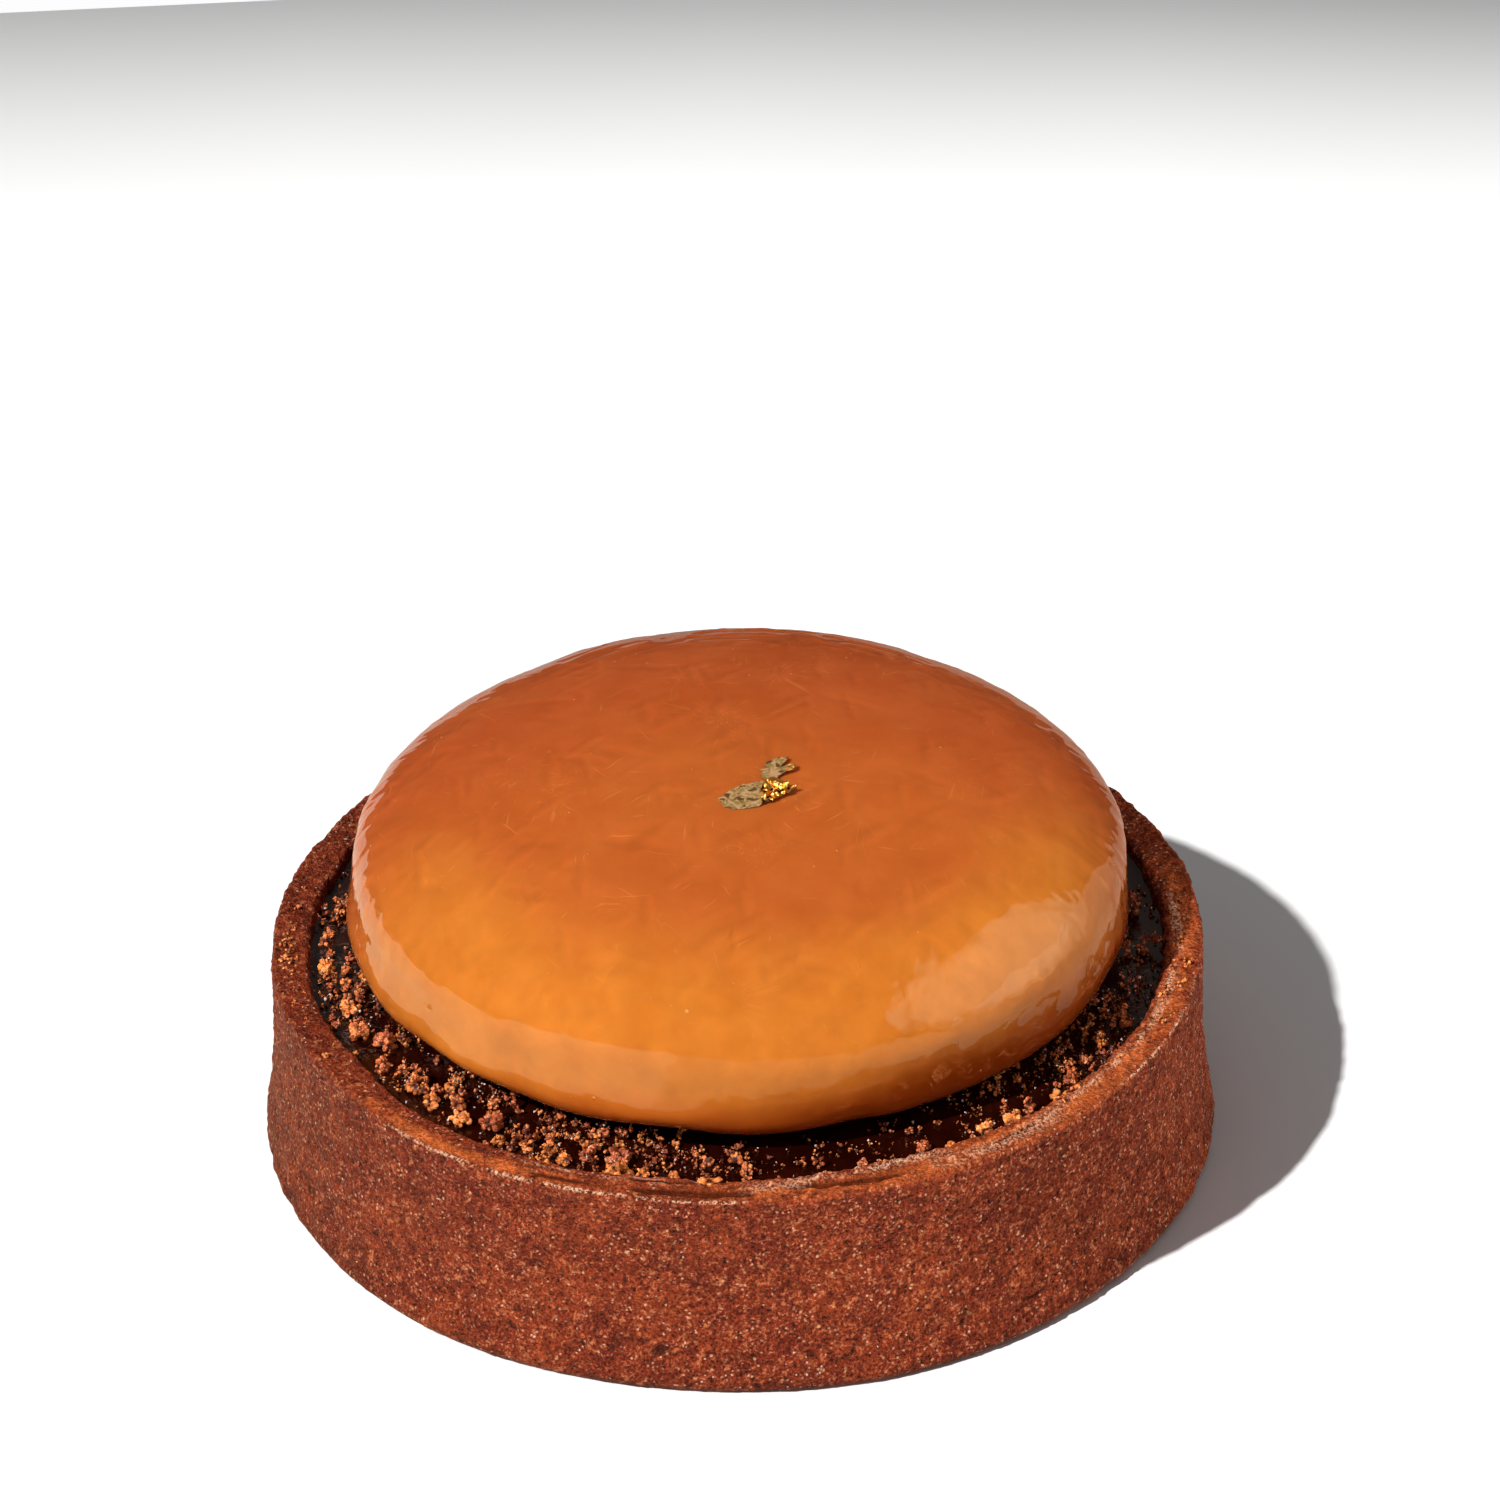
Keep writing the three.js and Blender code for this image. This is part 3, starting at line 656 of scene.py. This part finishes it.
def make_crumbs(name, crumbs, detail, grains, random):
    """One mesh of crumbs from rows of x, y, z, radius and tone: each is a cluster of grains on a core."""
    ball, faces = unit_ball(detail)
    count = len(crumbs)
    heading = random.normal(size=(count, grains, 3))
    heading /= np.linalg.norm(heading, axis=2, keepdims=True)
    squash = random.uniform(0.65, 1.0, (count, 1, 3))
    centre = heading * random.uniform(0.4, 0.85, (count, grains, 1)) * squash
    size = random.uniform(0.1, 0.3, (count, grains)) * (1 + 6 / grains) ** 0.6
    brightness = random.random((count, grains))

    along = np.einsum("vk,cgk->cvg", ball, centre)
    within = along ** 2 - (centre ** 2).sum(axis=2)[:, None] + size[:, None] ** 2
    reach = np.where(within > 0, along + np.sqrt(np.maximum(within, 0)), 0)
    outermost = reach.argmax(axis=2)
    core = CRUMB_CORE * np.linalg.norm(ball[None] * squash, axis=2)
    reach = np.maximum(reach.max(axis=2), core)
    grain = np.take_along_axis(brightness, outermost, axis=1)
    spot = ball[None] + crumbs[:, None, 0:3] * 3.7
    rough = 1.16 - 0.42 * np.abs(noise(spot, 0.4)) - 0.2 * np.abs(noise(spot, 0.17, 3.9))
    points = ball[None] * (reach * rough)[..., None] * crumbs[:, None, 3:4] + crumbs[:, None, 0:3]
    all_faces = (faces[None] + (np.arange(count) * len(ball))[:, None, None]).reshape(-1, 3)
    piece = mesh_object(name, points.reshape(-1, 3), all_faces.tolist(), {
        "tone": np.repeat(crumbs[:, 4], len(ball)),
        "grain": grain.ravel(),
        # How far the grains stand out: the material darkens the crumb where this is low, as painted shade.
        "knob": np.clip((reach - 0.45) / 0.45, 0, 1).ravel(),
        "level": (points[..., 2] - GANACHE_LEVEL).ravel(),
    })
    return piece


def make_all_crumbs():
    random = np.random.default_rng(CRUMB_SEED)
    rows = {name: scatter(random, *kind[:2]) for name, kind in CRUMB_KINDS.items()}
    fine = rows["crumbs_fine"]
    fine[random.random(len(fine)) < SUGAR_SHARE, 3] = SUGAR_TONE
    for name in ("crumbs_small", "crumbs_medium"):
        rows[name] = rows[name][np.argsort(-rows[name][:, 2])]
    groups = [np.array(LANDMARK_CRUMBS), *rows.values()]
    lumps, *others = np.split(piled(np.concatenate(groups)), np.cumsum([len(group) for group in groups])[:-1])
    pieces = [make_crumbs("crumb_lumps", lumps, LUMP_DETAIL, LUMP_GRAINS, random)]
    for (name, kind), group in zip(CRUMB_KINDS.items(), others):
        if name == "crumbs_medium":
            group = np.concatenate([group, rim_crumbs(random)])
        pieces.append(make_crumbs(name, group, *kind[2:], random))
    return pieces


# The light on the crumbs, for srgb()
CRUMB_LIGHT = 1.1


def crumb_material():
    m = Shader("biscuit_crumbs")
    tint = partial(srgb, light=CRUMB_LIGHT)
    own = m.attribute("tone")
    tone = m.math("ADD", own, m.ramp(m.noise(0.6, 2.0), 0.3, 0.7, -0.2, 0.2))
    base = m.mix(m.ramp(tone, 0.0, 0.45), tint(137, 48, 23), tint(210, 98, 44))
    base = m.mix(m.ramp(tone, 0.45, 0.9), base, tint(250, 143, 62))
    sand = m.noise(0.16, 2.0, 0.6)
    grain = m.attribute("grain")
    base = m.scaled(base, m.times(m.ramp(grain, 0.0, 1.0, 0.5, 1.5), m.ramp(sand, 0.36, 0.64, 0.6, 1.4)))
    # Painted highlight, partly pale grains: the brightest grains turn pale cream.
    pale = m.times(m.ramp(grain, 0.45, 0.85, 0.1, 1.0), m.ramp(sand, 0.52, 0.6))
    base = m.mix(m.times(pale, 0.8), base, tint(255, 203, 150))
    # Painted shade between the grains, where they stand out least.
    base = m.mix(m.ramp(m.attribute("knob"), 0.05, 0.42, 0.95, 0.0), base, tint(62, 16, 8))
    wet = m.ramp(m.attribute("level"), 0.02, 0.35, 1.0, 0.0)
    base = m.mix(m.times(wet, 0.7), base, tint(44, 12, 6))
    base = m.mix(m.ramp(own, 1.1, 1.2), base, tint(238, 214, 198))
    m.set(base_color=base, roughness=m.ramp(wet, 0.0, 1.0, 0.42, 0.15), normal=m.bump(sand, 0.14))
    m.set(specular_ior_level=0.45)
    return m.material


# ---- Dome ----


DOME_COLUMNS = 940
DOME_STEP = 0.22
PROFILE_STEPS = 400


def dome_profile():
    crown = [math.radians(t) for t in np.linspace(0, 89.4, PROFILE_STEPS)]
    upper = [(DOME_RADIUS * math.cos(t) ** (2 / DOME_CROWN_POWER),
              DOME_WIDEST_Z + DOME_CROWN * math.sin(t) ** (2 / DOME_CROWN_POWER)) for t in crown]
    foot = GANACHE_LEVEL + 0.02
    lower = []
    for share in np.linspace(0, 1, PROFILE_STEPS, endpoint=False):
        z = foot + (DOME_WIDEST_Z - foot) * share ** 1.6
        depth = (DOME_WIDEST_Z - z) / DOME_SKIRT
        lower.append((DOME_RADIUS * (1 - depth ** DOME_SKIRT_POWER) ** (1 / DOME_SKIRT_POWER), z))
    fine = np.array([(8.0, foot), (18.0, foot)] + lower + upper)
    length = np.concatenate([[0], np.cumsum(np.linalg.norm(np.diff(fine, axis=0), axis=1))])
    start = length[2]
    even = np.concatenate([[0, length[1]], np.arange(start, length[-1], DOME_STEP)])
    return np.stack([np.interp(even, length, fine[:, 0]), np.interp(even, length, fine[:, 1])], axis=1)


def make_dome():
    radius, height, out, up, angle = swept(dome_profile(), DOME_COLUMNS)
    degrees = np.degrees(angle)
    low = 1 - smoothstep(height, GANACHE_LEVEL + 0.4, DOME_WIDEST_Z - 3.5)
    swell = sum(reach * heap(degrees, direction, width) * ridge(height, level, spread)
                for direction, level, reach, width, spread in GLAZE_SWELLS)
    radius = radius + np.where(radius > 20, low * heaps(degrees, GLAZE_RUNS) + swell, 0)
    place = rings_of(radius, height, angle)
    on_side = smoothstep(radius, 22, 31) * smoothstep(height, GANACHE_LEVEL + 0.3, GANACHE_LEVEL + 2.5)
    broad = 0.1 * noise(place, 7.0, 2.6)
    ripple = 0.065 * noise(place, 2.3, 5.9) + 0.036 * noise(place, 1.2, 8.2) + 0.018 * noise(place, 0.7, 3.7)
    runs = noise(np.stack([angle * DOME_RADIUS / 0.55, height / 4.0, 0 * height], axis=-1), 1.0, 2.2)
    combed = 0.075 * runs * smoothstep(np.abs(turn_between(-95, degrees)), 62, 85) * ridge(height, 27.0, 3.2)
    right = smoothstep(place[..., 0], -6, 22)
    wrinkles = noise(np.stack([angle * DOME_RADIUS / 5.0, radius / 1.2, 0 * height], axis=-1), 1.0, 6.1)
    wrinkled = 0.11 * ridge(wrinkles, 0, 0.22) * ridge(height, 32.4, 1.6) * heap(degrees, 84, 48)
    calm = 1 - 0.65 * (1 - smoothstep(height, 24.5, 27.5)) * (1 - right)
    ripple = broad + wrinkled + (ripple + combed) * (0.3 + 0.7 * on_side) * calm
    ripple = ripple * (height > GANACHE_LEVEL + 0.3)
    radius, height = radius + ripple * out, height + ripple * up
    # The yellower flank colour shows only towards the front, and less at the far left: partly the thinner
    # glaze of the flank, partly painted light on the lit front.
    front = 1 - smoothstep(place[..., 1] + 0.4 * np.abs(place[..., 0]), -6, 18)
    flank = smoothstep(radius + 1.6 * noise(place, 5.0, 1.9), 20.5, 30) * (1 - 0.65 * heap(degrees, 183, 24))
    piece = turned_object("dome_glaze", rings_of(radius, height, angle, DOME_CENTRE), {
        "side": front * (0.28 + 0.72 * flank),
        # Darker glaze at the foot: partly thicker glaze, partly painted shade, which reaches higher on the
        # right and stays lower at the front left.
        "foot": 1 - smoothstep(height - 2.6 * right + 0.4 * noise(place, 2.5, 7.3), 18.7,
                               25.3 - 3.4 * heap(degrees, 208, 42)),
    })
    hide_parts("caramel_dome")
    return piece


def glaze_crystals(m, size, thin):
    """Fine pale needles that fan out from points about size mm apart, as crystals grow in a setting glaze."""
    at = m.drifted(0.8 * size, 0.08 * size)
    distance, colour, middle = m.cells(size, at)
    way = m.vector("NORMALIZE", m.vector("SUBTRACT", at, middle))
    at_way = m.vector("ADD", m.scaled(way, 3.4), m.scaled(colour, 40.0))
    strands = m.node("ShaderNodeTexNoise", {"Vector": at_way, "Scale": 1.0, "Detail": 1.0}).outputs[0]
    off = m.times(m.math("ABSOLUTE", m.math("SUBTRACT", strands, 0.5)), m.math("ADD", distance, 0.1))
    length = m.node("ShaderNodeTexNoise", {"Vector": at_way, "Scale": 1.9, "Detail": 0.0}).outputs[0]
    reach = m.ramp(m.math("DIVIDE", distance, m.ramp(length, 0.3, 0.7, 0.12, 0.75)), 1.05, 0.8)
    patchy = m.ramp(m.noise(size * 1.1, at=at), 0.42, 0.56)
    return m.times(m.ramp(off, thin, thin * 0.25), reach, patchy)


def glaze_blades(m, size, turn):
    """Faint blades that lie one way, lighter on one side and darker on the other: from -1 to 1."""
    at = m.vector("MULTIPLY", m.turned(m.drifted(6.0, 1.2), turn), (0.3, 1.0, 1.0))
    distance, colour, middle = m.cells(size, at)
    across = m.split(m.vector("SUBTRACT", at, middle))[1]
    chosen = m.math("GREATER_THAN", m.split(colour)[0], 0.55)
    shape = m.ramp(distance, 0.5, 0.3)
    return m.times(chosen, shape, m.ramp(across, -0.16 * size * MM, 0.16 * size * MM, -1.0, 1.0))


def glaze_needles(m, size, turn):
    """Thin pale needles that lie one way, one in some of the cells of the given width in mm."""
    at = m.vector("MULTIPLY", m.turned(m.drifted(4.0, 0.7), turn), (0.06, 1.0, 0.5))
    distance, colour, _ = m.cells(size, at)
    tone = m.split(colour)
    chosen = m.math("GREATER_THAN", tone[0], 0.5)
    return m.times(chosen, m.ramp(distance, 0.12, 0.04), m.ramp(tone[1], 0.0, 1.0, 0.3, 1.0))


def glaze_bubbles(m, size, wanted, least, most):
    """Tiny bubbles: one in some of the cells of the given size, with radii in mm."""
    distance, colour, _ = m.cells(size)
    tone = m.split(colour)
    here = m.math("GREATER_THAN", tone[0], 1 - wanted)
    radius = m.ramp(tone[1], 0.0, 1.0, least / size, most / size)
    return m.times(here, m.ramp(m.math("DIVIDE", distance, radius), 1.0, 0.5))


def glaze_material():
    m = Shader("caramel_glaze")
    side, foot = m.attribute("side"), m.attribute("foot")
    top = m.mix(m.ramp(m.noise(6.0, 3.0), 0.35, 0.65), srgb(163, 70, 28), srgb(171, 78, 34))
    flank = m.mix(m.ramp(m.noise(5.0, 2.0), 0.35, 0.65), srgb(186, 104, 32), srgb(194, 112, 38))
    # Painted light in part: side brings the flank colour only on the lit front.
    base = m.mix(side, top, flank)
    across = m.split(m.place)[0]
    # Painted shade towards the left and painted light towards the right.
    at_left = m.ramp(across, -32 * MM, -14 * MM, 0.93, 1.0)
    base = m.scaled(base, m.times(at_left, m.ramp(across, 2 * MM, 24 * MM, 1.0, 1.16)))
    # Painted shade: the foot's colour is darker towards the right.
    right = m.ramp(across, -6 * MM, 22 * MM)
    base = m.mix(m.times(foot, 0.9), base, m.mix(right, srgb(168, 61, 9), srgb(114, 31, 2)))

    fading = m.times(m.ramp(side, 0.6, 1.0, 1.0, 0.5), m.ramp(foot, 0.0, 0.5, 1.0, 0.0))
    crossed = m.math("ADD", glaze_blades(m, 2.0, 85), glaze_blades(m, 2.3, 140))
    blades = m.math("ADD", glaze_blades(m, 2.6, 20), crossed)
    base = m.scaled(base, m.math("ADD", 1.0, m.times(blades, fading, 0.075)))
    base = m.scaled(base, m.ramp(m.noise(2.4, 3.0, 0.6), 0.3, 0.7, 0.94, 1.06))
    crystals = m.times(glaze_crystals(m, 9.0, 0.007), 0.6)
    for turn in (8, 52, 97, 141):
        crystals = m.math("MAXIMUM", crystals, glaze_needles(m, 0.9, turn))
    base = m.mix(m.times(crystals, fading, 0.24), base, srgb(240, 154, 80))

    large, small = glaze_bubbles(m, 3.6, 0.4, 0.12, 0.24), glaze_bubbles(m, 1.7, 0.25, 0.07, 0.15)
    bubbles = m.math("MAXIMUM", large, small)
    # Painted highlight: the bubbles are lighter spots.
    base = m.mix(m.times(bubbles, 0.5), base, srgb(244, 166, 96))
    m.set(base_color=base, roughness=0.42, normal=m.bump(bubbles, 0.1))
    m.set(coat_normal=m.bump(bubbles, 0.12, before=m.bump(blades, 0.012)))
    m.set(subsurface_weight=0.35, subsurface_radius=(1.0, 0.32, 0.1), subsurface_scale=0.0022)
    m.set(specular_ior_level=0.0, coat_weight=1.0, coat_roughness=0.015, coat_ior=1.6)
    return m.material


# ---- Gold leaf ----


LEAF_THICKNESS = 0.03
LEAF_LIFT = 0.13
# How high the folds stand on a sheet's flat part, and how much higher on its crumpled part
LEAF_FOLDS = 0.03
LEAF_CRUMPLE = 0.42
LEAF_COLUMNS = 280
LEAF_ROWS = 44
# The light on the leaf's matt part, for srgb()
LEAF_LIGHT = 1.3
# Each sheet: outline in x and y, its middle, the x where its crumpled part starts and ends growing, and lift
LEAF_SHEETS = {
    "leaf_main": ([
        (-1.52, -7.61), (-1.06, -6.96), (-0.26, -6.18), (0.55, -5.56), (1.35, -5.24), (2.23, -5.10),
        (2.80, -4.82), (3.60, -5.00), (4.16, -5.21), (4.47, -6.02), (5.03, -6.27), (4.70, -6.83),
        (4.05, -7.25), (3.09, -7.81), (2.45, -8.26), (1.48, -8.61), (0.52, -8.86), (-0.27, -8.84),
        (-0.83, -8.43),
    ], (1.7, -6.9), (1.7, 2.8), 0.0),
    "leaf_upper": ([
        (2.50, -2.25), (3.15, -1.75), (3.96, -1.29), (4.57, -1.42), (4.11, -2.37), (3.62, -3.11),
        (4.51, -2.65), (4.99, -2.69), (5.23, -3.19), (4.58, -3.65), (3.93, -3.95), (3.36, -4.67),
        (2.64, -4.82), (2.19, -4.40), (2.33, -3.55), (2.09, -3.21), (2.65, -3.12),
    ], (3.2, -3.2), (3.4, 5.6), 0.04),
    "leaf_folded": ([
        (2.3, -5.9), (3.0, -5.35), (3.9, -5.4), (4.5, -6.0), (4.3, -6.6), (3.5, -7.0), (2.7, -7.3),
        (2.1, -6.8),
    ], (3.3, -6.2), (1.0, 2.0), 0.24),
}


def dome_height(x, y):
    """The height of the glaze at a place on the dome's crown."""
    share = np.hypot(x - DOME_CENTRE[0], y - DOME_CENTRE[1]) / DOME_RADIUS
    return DOME_WIDEST_Z + DOME_CROWN * (1 - share ** DOME_CROWN_POWER) ** (1 / DOME_CROWN_POWER)


def outline_reach(outline, middle, turns):
    """How far a closed outline lies from a middle point, in each direction in radians."""
    def cross(a, b):
        return a[..., 0] * b[..., 1] - a[..., 1] * b[..., 0]
    start = np.array(outline) - middle
    edge = np.roll(start, -1, axis=0) - start
    way = np.stack([np.cos(turns), np.sin(turns)], axis=1)[:, None]
    share = cross(start[None], way) / cross(way, edge[None])
    reach = cross(start, edge)[None] / cross(way, edge[None])
    return np.where((share >= 0) & (share <= 1) & (reach > 0), reach, 0).max(axis=1)


def make_sheet(name, outline, middle, crumpled, lift):
    """One torn sheet of leaf on the dome, flat at its left and more and more crumpled between two x."""
    turns = np.linspace(-math.pi, math.pi, LEAF_COLUMNS, endpoint=False)
    share = np.linspace(0.02, 1, LEAF_ROWS)
    reach = outline_reach(outline, middle, turns)
    edge = np.stack([np.cos(turns), np.sin(turns), 0 * turns + lift], axis=-1) * 3
    reach = reach * (1 + 0.05 * noise(edge, 0.4) + 0.04 * noise(edge, 0.15, 5.0))
    x = middle[0] + share[:, None] * (reach * np.cos(turns))[None]
    y = middle[1] + share[:, None] * (reach * np.sin(turns))[None]
    flat = np.stack([x, y, 0 * x + lift * 40], axis=-1)
    depth = LEAF_FOLDS + LEAF_CRUMPLE * smoothstep(x, *crumpled)
    folds = np.abs(noise(flat, 0.8, 3.7)) + 0.55 * np.abs(noise(flat, 0.36, 9.1))
    folds = folds + 0.3 * np.abs(noise(flat, 0.18, 1.3))
    z = dome_height(x, y) + LEAF_LIFT + lift + depth * folds + 0.04 * noise(flat, 1.6, 6.6)
    x = x + 0.3 * depth * noise(flat, 0.45, 21.0)
    y = y + 0.3 * depth * noise(flat, 0.45, 37.0)
    top = np.stack([x, y, z], axis=-1)
    rings = np.concatenate([top - [0, 0, LEAF_THICKNESS], top[::-1]])
    crumple, fold = (np.concatenate([values, values[::-1]]) for values in (depth, folds))
    piece = turned_object(name, rings, {"crumple": (crumple - LEAF_FOLDS) / LEAF_CRUMPLE, "fold": fold})
    return piece


def make_leaf():
    sheets = [make_sheet(name, *shape) for name, shape in LEAF_SHEETS.items()]
    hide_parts("gold_leaf")
    return sheets


def leaf_material():
    m = Shader("gold_leaf")
    tint = partial(srgb, light=LEAF_LIGHT)
    crumple, fold = m.attribute("crumple"), m.attribute("fold")
    worn = m.ramp(m.noise(0.45, 3.0, 0.6), 0.44, 0.56)
    matt = m.mix(worn, tint(148, 124, 62), tint(206, 158, 108))
    matt = m.mix(m.ramp(m.noise(0.6, 2.0), 0.54, 0.62), matt, tint(104, 62, 34))
    bright = m.mix(m.ramp(m.noise(0.35, 2.0), 0.42, 0.58), srgb(255, 150, 24), srgb(255, 196, 104))
    # Painted shade in the creases of the crumpled leaf.
    bright = m.mix(m.ramp(fold, 0.5, 0.34), bright, srgb(56, 24, 6))
    base = m.mix(m.ramp(crumple, 0.25, 0.7), matt, bright)
    m.set(metallic=m.ramp(crumple, 0.1, 0.9, 0.2, 0.9), roughness=m.ramp(crumple, 0.1, 0.9, 0.5, 0.3))
    m.set(base_color=base, normal=m.bump(m.noise(0.25, 3.0), 0.05))
    return m.material


# ---- Camera, floor and light ----


# The camera looks down by its elevation, in degrees, as is its roll
CAMERA_ELEVATION = 32.1
CAMERA_ROLL = 0.697
CAMERA_AT = (1.288, -501.04, 350.88)
CAMERA_LENS = 168.0
SENSOR_WIDTH = 36.0
# The key light: the direction that it comes from, its strength, and its width in degrees
KEY_FROM = (-0.793, -0.609, 1.072)
KEY_STRENGTH = 4.4
KEY_WIDTH = 1.6


def make_camera():
    camera = bpy.data.objects.new("camera", bpy.data.cameras.new("camera"))
    camera.data.lens = CAMERA_LENS
    camera.data.sensor_width = SENSOR_WIDTH
    camera.data.clip_start = 0.01
    look = Matrix.Rotation(math.radians(90 - CAMERA_ELEVATION), 4, "X")
    camera.matrix_world = (Matrix.Translation(Vector(CAMERA_AT) * MM) @ look
                           @ Matrix.Rotation(-math.radians(CAMERA_ROLL), 4, "Z"))
    bpy.context.scene.collection.objects.link(camera)
    bpy.context.scene.camera = camera


# The floor is a disc that ends behind the tart, and sweeps up between two distances in front of it
FLOOR_RADIUS = 900.0
FLOOR_BACK = 222.0
FLOOR_SWEEP = 200.0
SWEEP_BETWEEN = (500.0, 1500.0)
FLOOR_DEPTH = 2.0
FLOOR_GAP = 0.05
# The floor's brightness in the glaze's reflection: at the back left, and each change from there round by the
# front: where it starts and ends in degrees from the front, and how much it adds
FLOOR_GLOW = 0.25
FLOOR_MIRRORED = [(-178, -130, 0.85), (-19, -15, -0.55), (28, 42, 0.27), (58, 84, -0.1), (135, 170, -0.35)]


def make_floor():
    turns = np.linspace(0, 2 * math.pi, 120, endpoint=False)
    rings = []
    for away in np.linspace(FLOOR_RADIUS, 60, 15):
        x, y = away * np.cos(turns), FLOOR_BACK - FLOOR_RADIUS + away * np.sin(turns)
        rings.append(np.stack([x, y, FLOOR_SWEEP * smoothstep(-y, *SWEEP_BETWEEN) - FLOOR_GAP], axis=1))
    rings = np.array(rings)
    piece = turned_object("floor", np.concatenate([rings[::-1] - [0, 0, FLOOR_DEPTH], rings]))
    piece.data.materials.append(floor_material())


def floor_material():
    """Matt and pale, but it glows in reflections, so that what mirrors it can be set by direction."""
    m = Shader("pale_floor")
    spot = m.split(m.place)
    way = m.math("ARCTAN2", spot[0], m.math("MULTIPLY", spot[1], -1.0))

    def turning(start, end, change=1.0):
        return m.ramp(way, math.radians(start), math.radians(end), 0.0, change)
    mirrored = FLOOR_GLOW
    for step in FLOOR_MIRRORED:
        mirrored = m.math("ADD", mirrored, turning(*step))
    in_gloss = m.node("ShaderNodeLightPath").outputs["Is Glossy Ray"]
    glow = m.mix(turning(-150, -100), (1.0, 0.84, 0.74, 1.0), (0.97, 0.88, 0.58, 1.0))
    glow = m.mix(turning(48, 80), glow, (1.0, 0.62, 0.46, 1.0))
    m.set(base_color=m.mix(in_gloss, (0.93, 0.925, 0.92, 1.0), (0.0, 0.0, 0.0, 1.0)), roughness=0.9)
    m.set(specular_ior_level=0.1, emission_color=m.scaled(glow, mirrored), emission_strength=in_gloss)
    return m.material


def new_light(name, kind, toward, mirrored, receivers):
    """A light from a direction onto the given pieces, or onto all: they either mirror it or are lit by it."""
    light = bpy.data.objects.new(name, bpy.data.lights.new(name, kind))
    light.rotation_mode = "QUATERNION"
    light.rotation_quaternion = Vector(toward).to_track_quat("Z", "Y")
    light.visible_glossy = mirrored
    light.visible_diffuse = not mirrored
    light.visible_transmission = not mirrored
    if receivers:
        group = bpy.data.collections.new(name + "_receivers")
        for piece in receivers:
            group.objects.link(piece)
        light.light_linking.receiver_collection = group
    bpy.context.scene.collection.objects.link(light)
    return light


def make_sun(name, mirrored, receivers=None):
    light = new_light(name, "SUN", KEY_FROM, mirrored, receivers)
    light.data.energy = KEY_STRENGTH
    light.data.angle = math.radians(KEY_WIDTH)


def make_card(name, toward, distance, size, radiance, receivers, colour, mirrored):
    """A soft oval light that faces the tart, with its width and height in mm, and its brightness."""
    light = new_light(name, "AREA", toward, mirrored, receivers)
    light.data.shape = "ELLIPSE"
    light.data.size, light.data.size_y = size[0] * MM, size[1] * MM
    light.data.energy = radiance * math.pi * math.pi / 4 * size[0] * size[1] * MM * MM
    light.data.color = colour
    light.location = Vector(toward).normalized() * distance * MM
    light.visible_camera = False


def make_world(ambient, mirrored, backdrop):
    """The surroundings' brightness: as light, as a reflection sees it, and behind the floor."""
    world = bpy.data.worlds.new("studio")
    bpy.context.scene.world = world
    world.use_nodes = True
    nodes, links = world.node_tree.nodes, world.node_tree.links
    path = nodes.new("ShaderNodeLightPath")
    brightness = None
    for kind, value in (("Is Glossy Ray", mirrored), ("Is Camera Ray", backdrop)):
        mix = nodes.new("ShaderNodeMix")
        links.new(path.outputs[kind], mix.inputs[0])
        mix.inputs[2].default_value = ambient
        if brightness:
            links.new(brightness, mix.inputs[2])
        mix.inputs[3].default_value = value
        brightness = mix.outputs[0]
    links.new(brightness, nodes["Background"].inputs["Color"])


def spherical(azimuth, elevation):
    """A direction: azimuth in degrees from the front towards +X, and elevation."""
    a, e = math.radians(azimuth), math.radians(elevation)
    return math.sin(a) * math.cos(e), -math.cos(a) * math.cos(e), math.sin(e)


# ---- The scene ----


# The card that the glaze mirrors at its right, in ovals that lie on each other: elevation, size and radiance
CARD_RIGHT = [(26, (980, 900), 0.5), (31, (920, 690), 0.35), (31, (860, 640), 0.35), (31, (780, 570), 0.35)]
WHITE = (1.0, 1.0, 1.0)
CREAM = (1.0, 0.88, 0.58)
ROSE = (1.0, 0.68, 0.5)
PALE_ROSE = (1.0, 0.8, 0.7)

make_camera()
shell, ganache, dome = make_shell(), make_ganache(), make_dome()
crumbs, leaf = make_all_crumbs(), make_leaf()
finishes = [(shell, crust_material()), (ganache, ganache_material()), (dome, glaze_material())]
biscuit, gold = crumb_material(), leaf_material()
finishes += [(piece, biscuit) for piece in crumbs] + [(piece, gold) for piece in leaf]
for piece, finish in finishes:
    piece.data.materials.append(finish)
    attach(piece, "root")

tart = [piece for piece, _ in finishes]
make_floor()
make_world(ambient=0.2, mirrored=0.02, backdrop=0.98)
# Only the dry pieces mirror the key light
make_sun("key", False)
make_sun("key_glints", True, [shell, *crumbs, *leaf])
wet = [dome, ganache]
dry = [piece for piece in tart if piece not in wet]
for low, size, radiance in CARD_RIGHT:
    make_card("card_right", spherical(82, low), 800 - 0.1 * size[0], size, radiance, [dome], CREAM, True)
make_card("backdrop_right", spherical(98, 4), 880, (1400, 500), 0.75, [dome], ROSE, True)
make_card("backdrop_back", spherical(180, 32), 900, (1500, 700), 0.16, [ganache], PALE_ROSE, True)
make_card("fill_right", spherical(72, 30), 800, (800, 700), 2.4, [shell, *leaf], WHITE, False)
make_card("fill_front_right", spherical(28, 26), 900, (900, 760), 1.4, dry, WHITE, False)
make_card("fill_glaze", spherical(52, 42), 900, (900, 760), 1.2, wet, WHITE, False)
bpy.context.scene.view_settings.view_transform = "Standard"
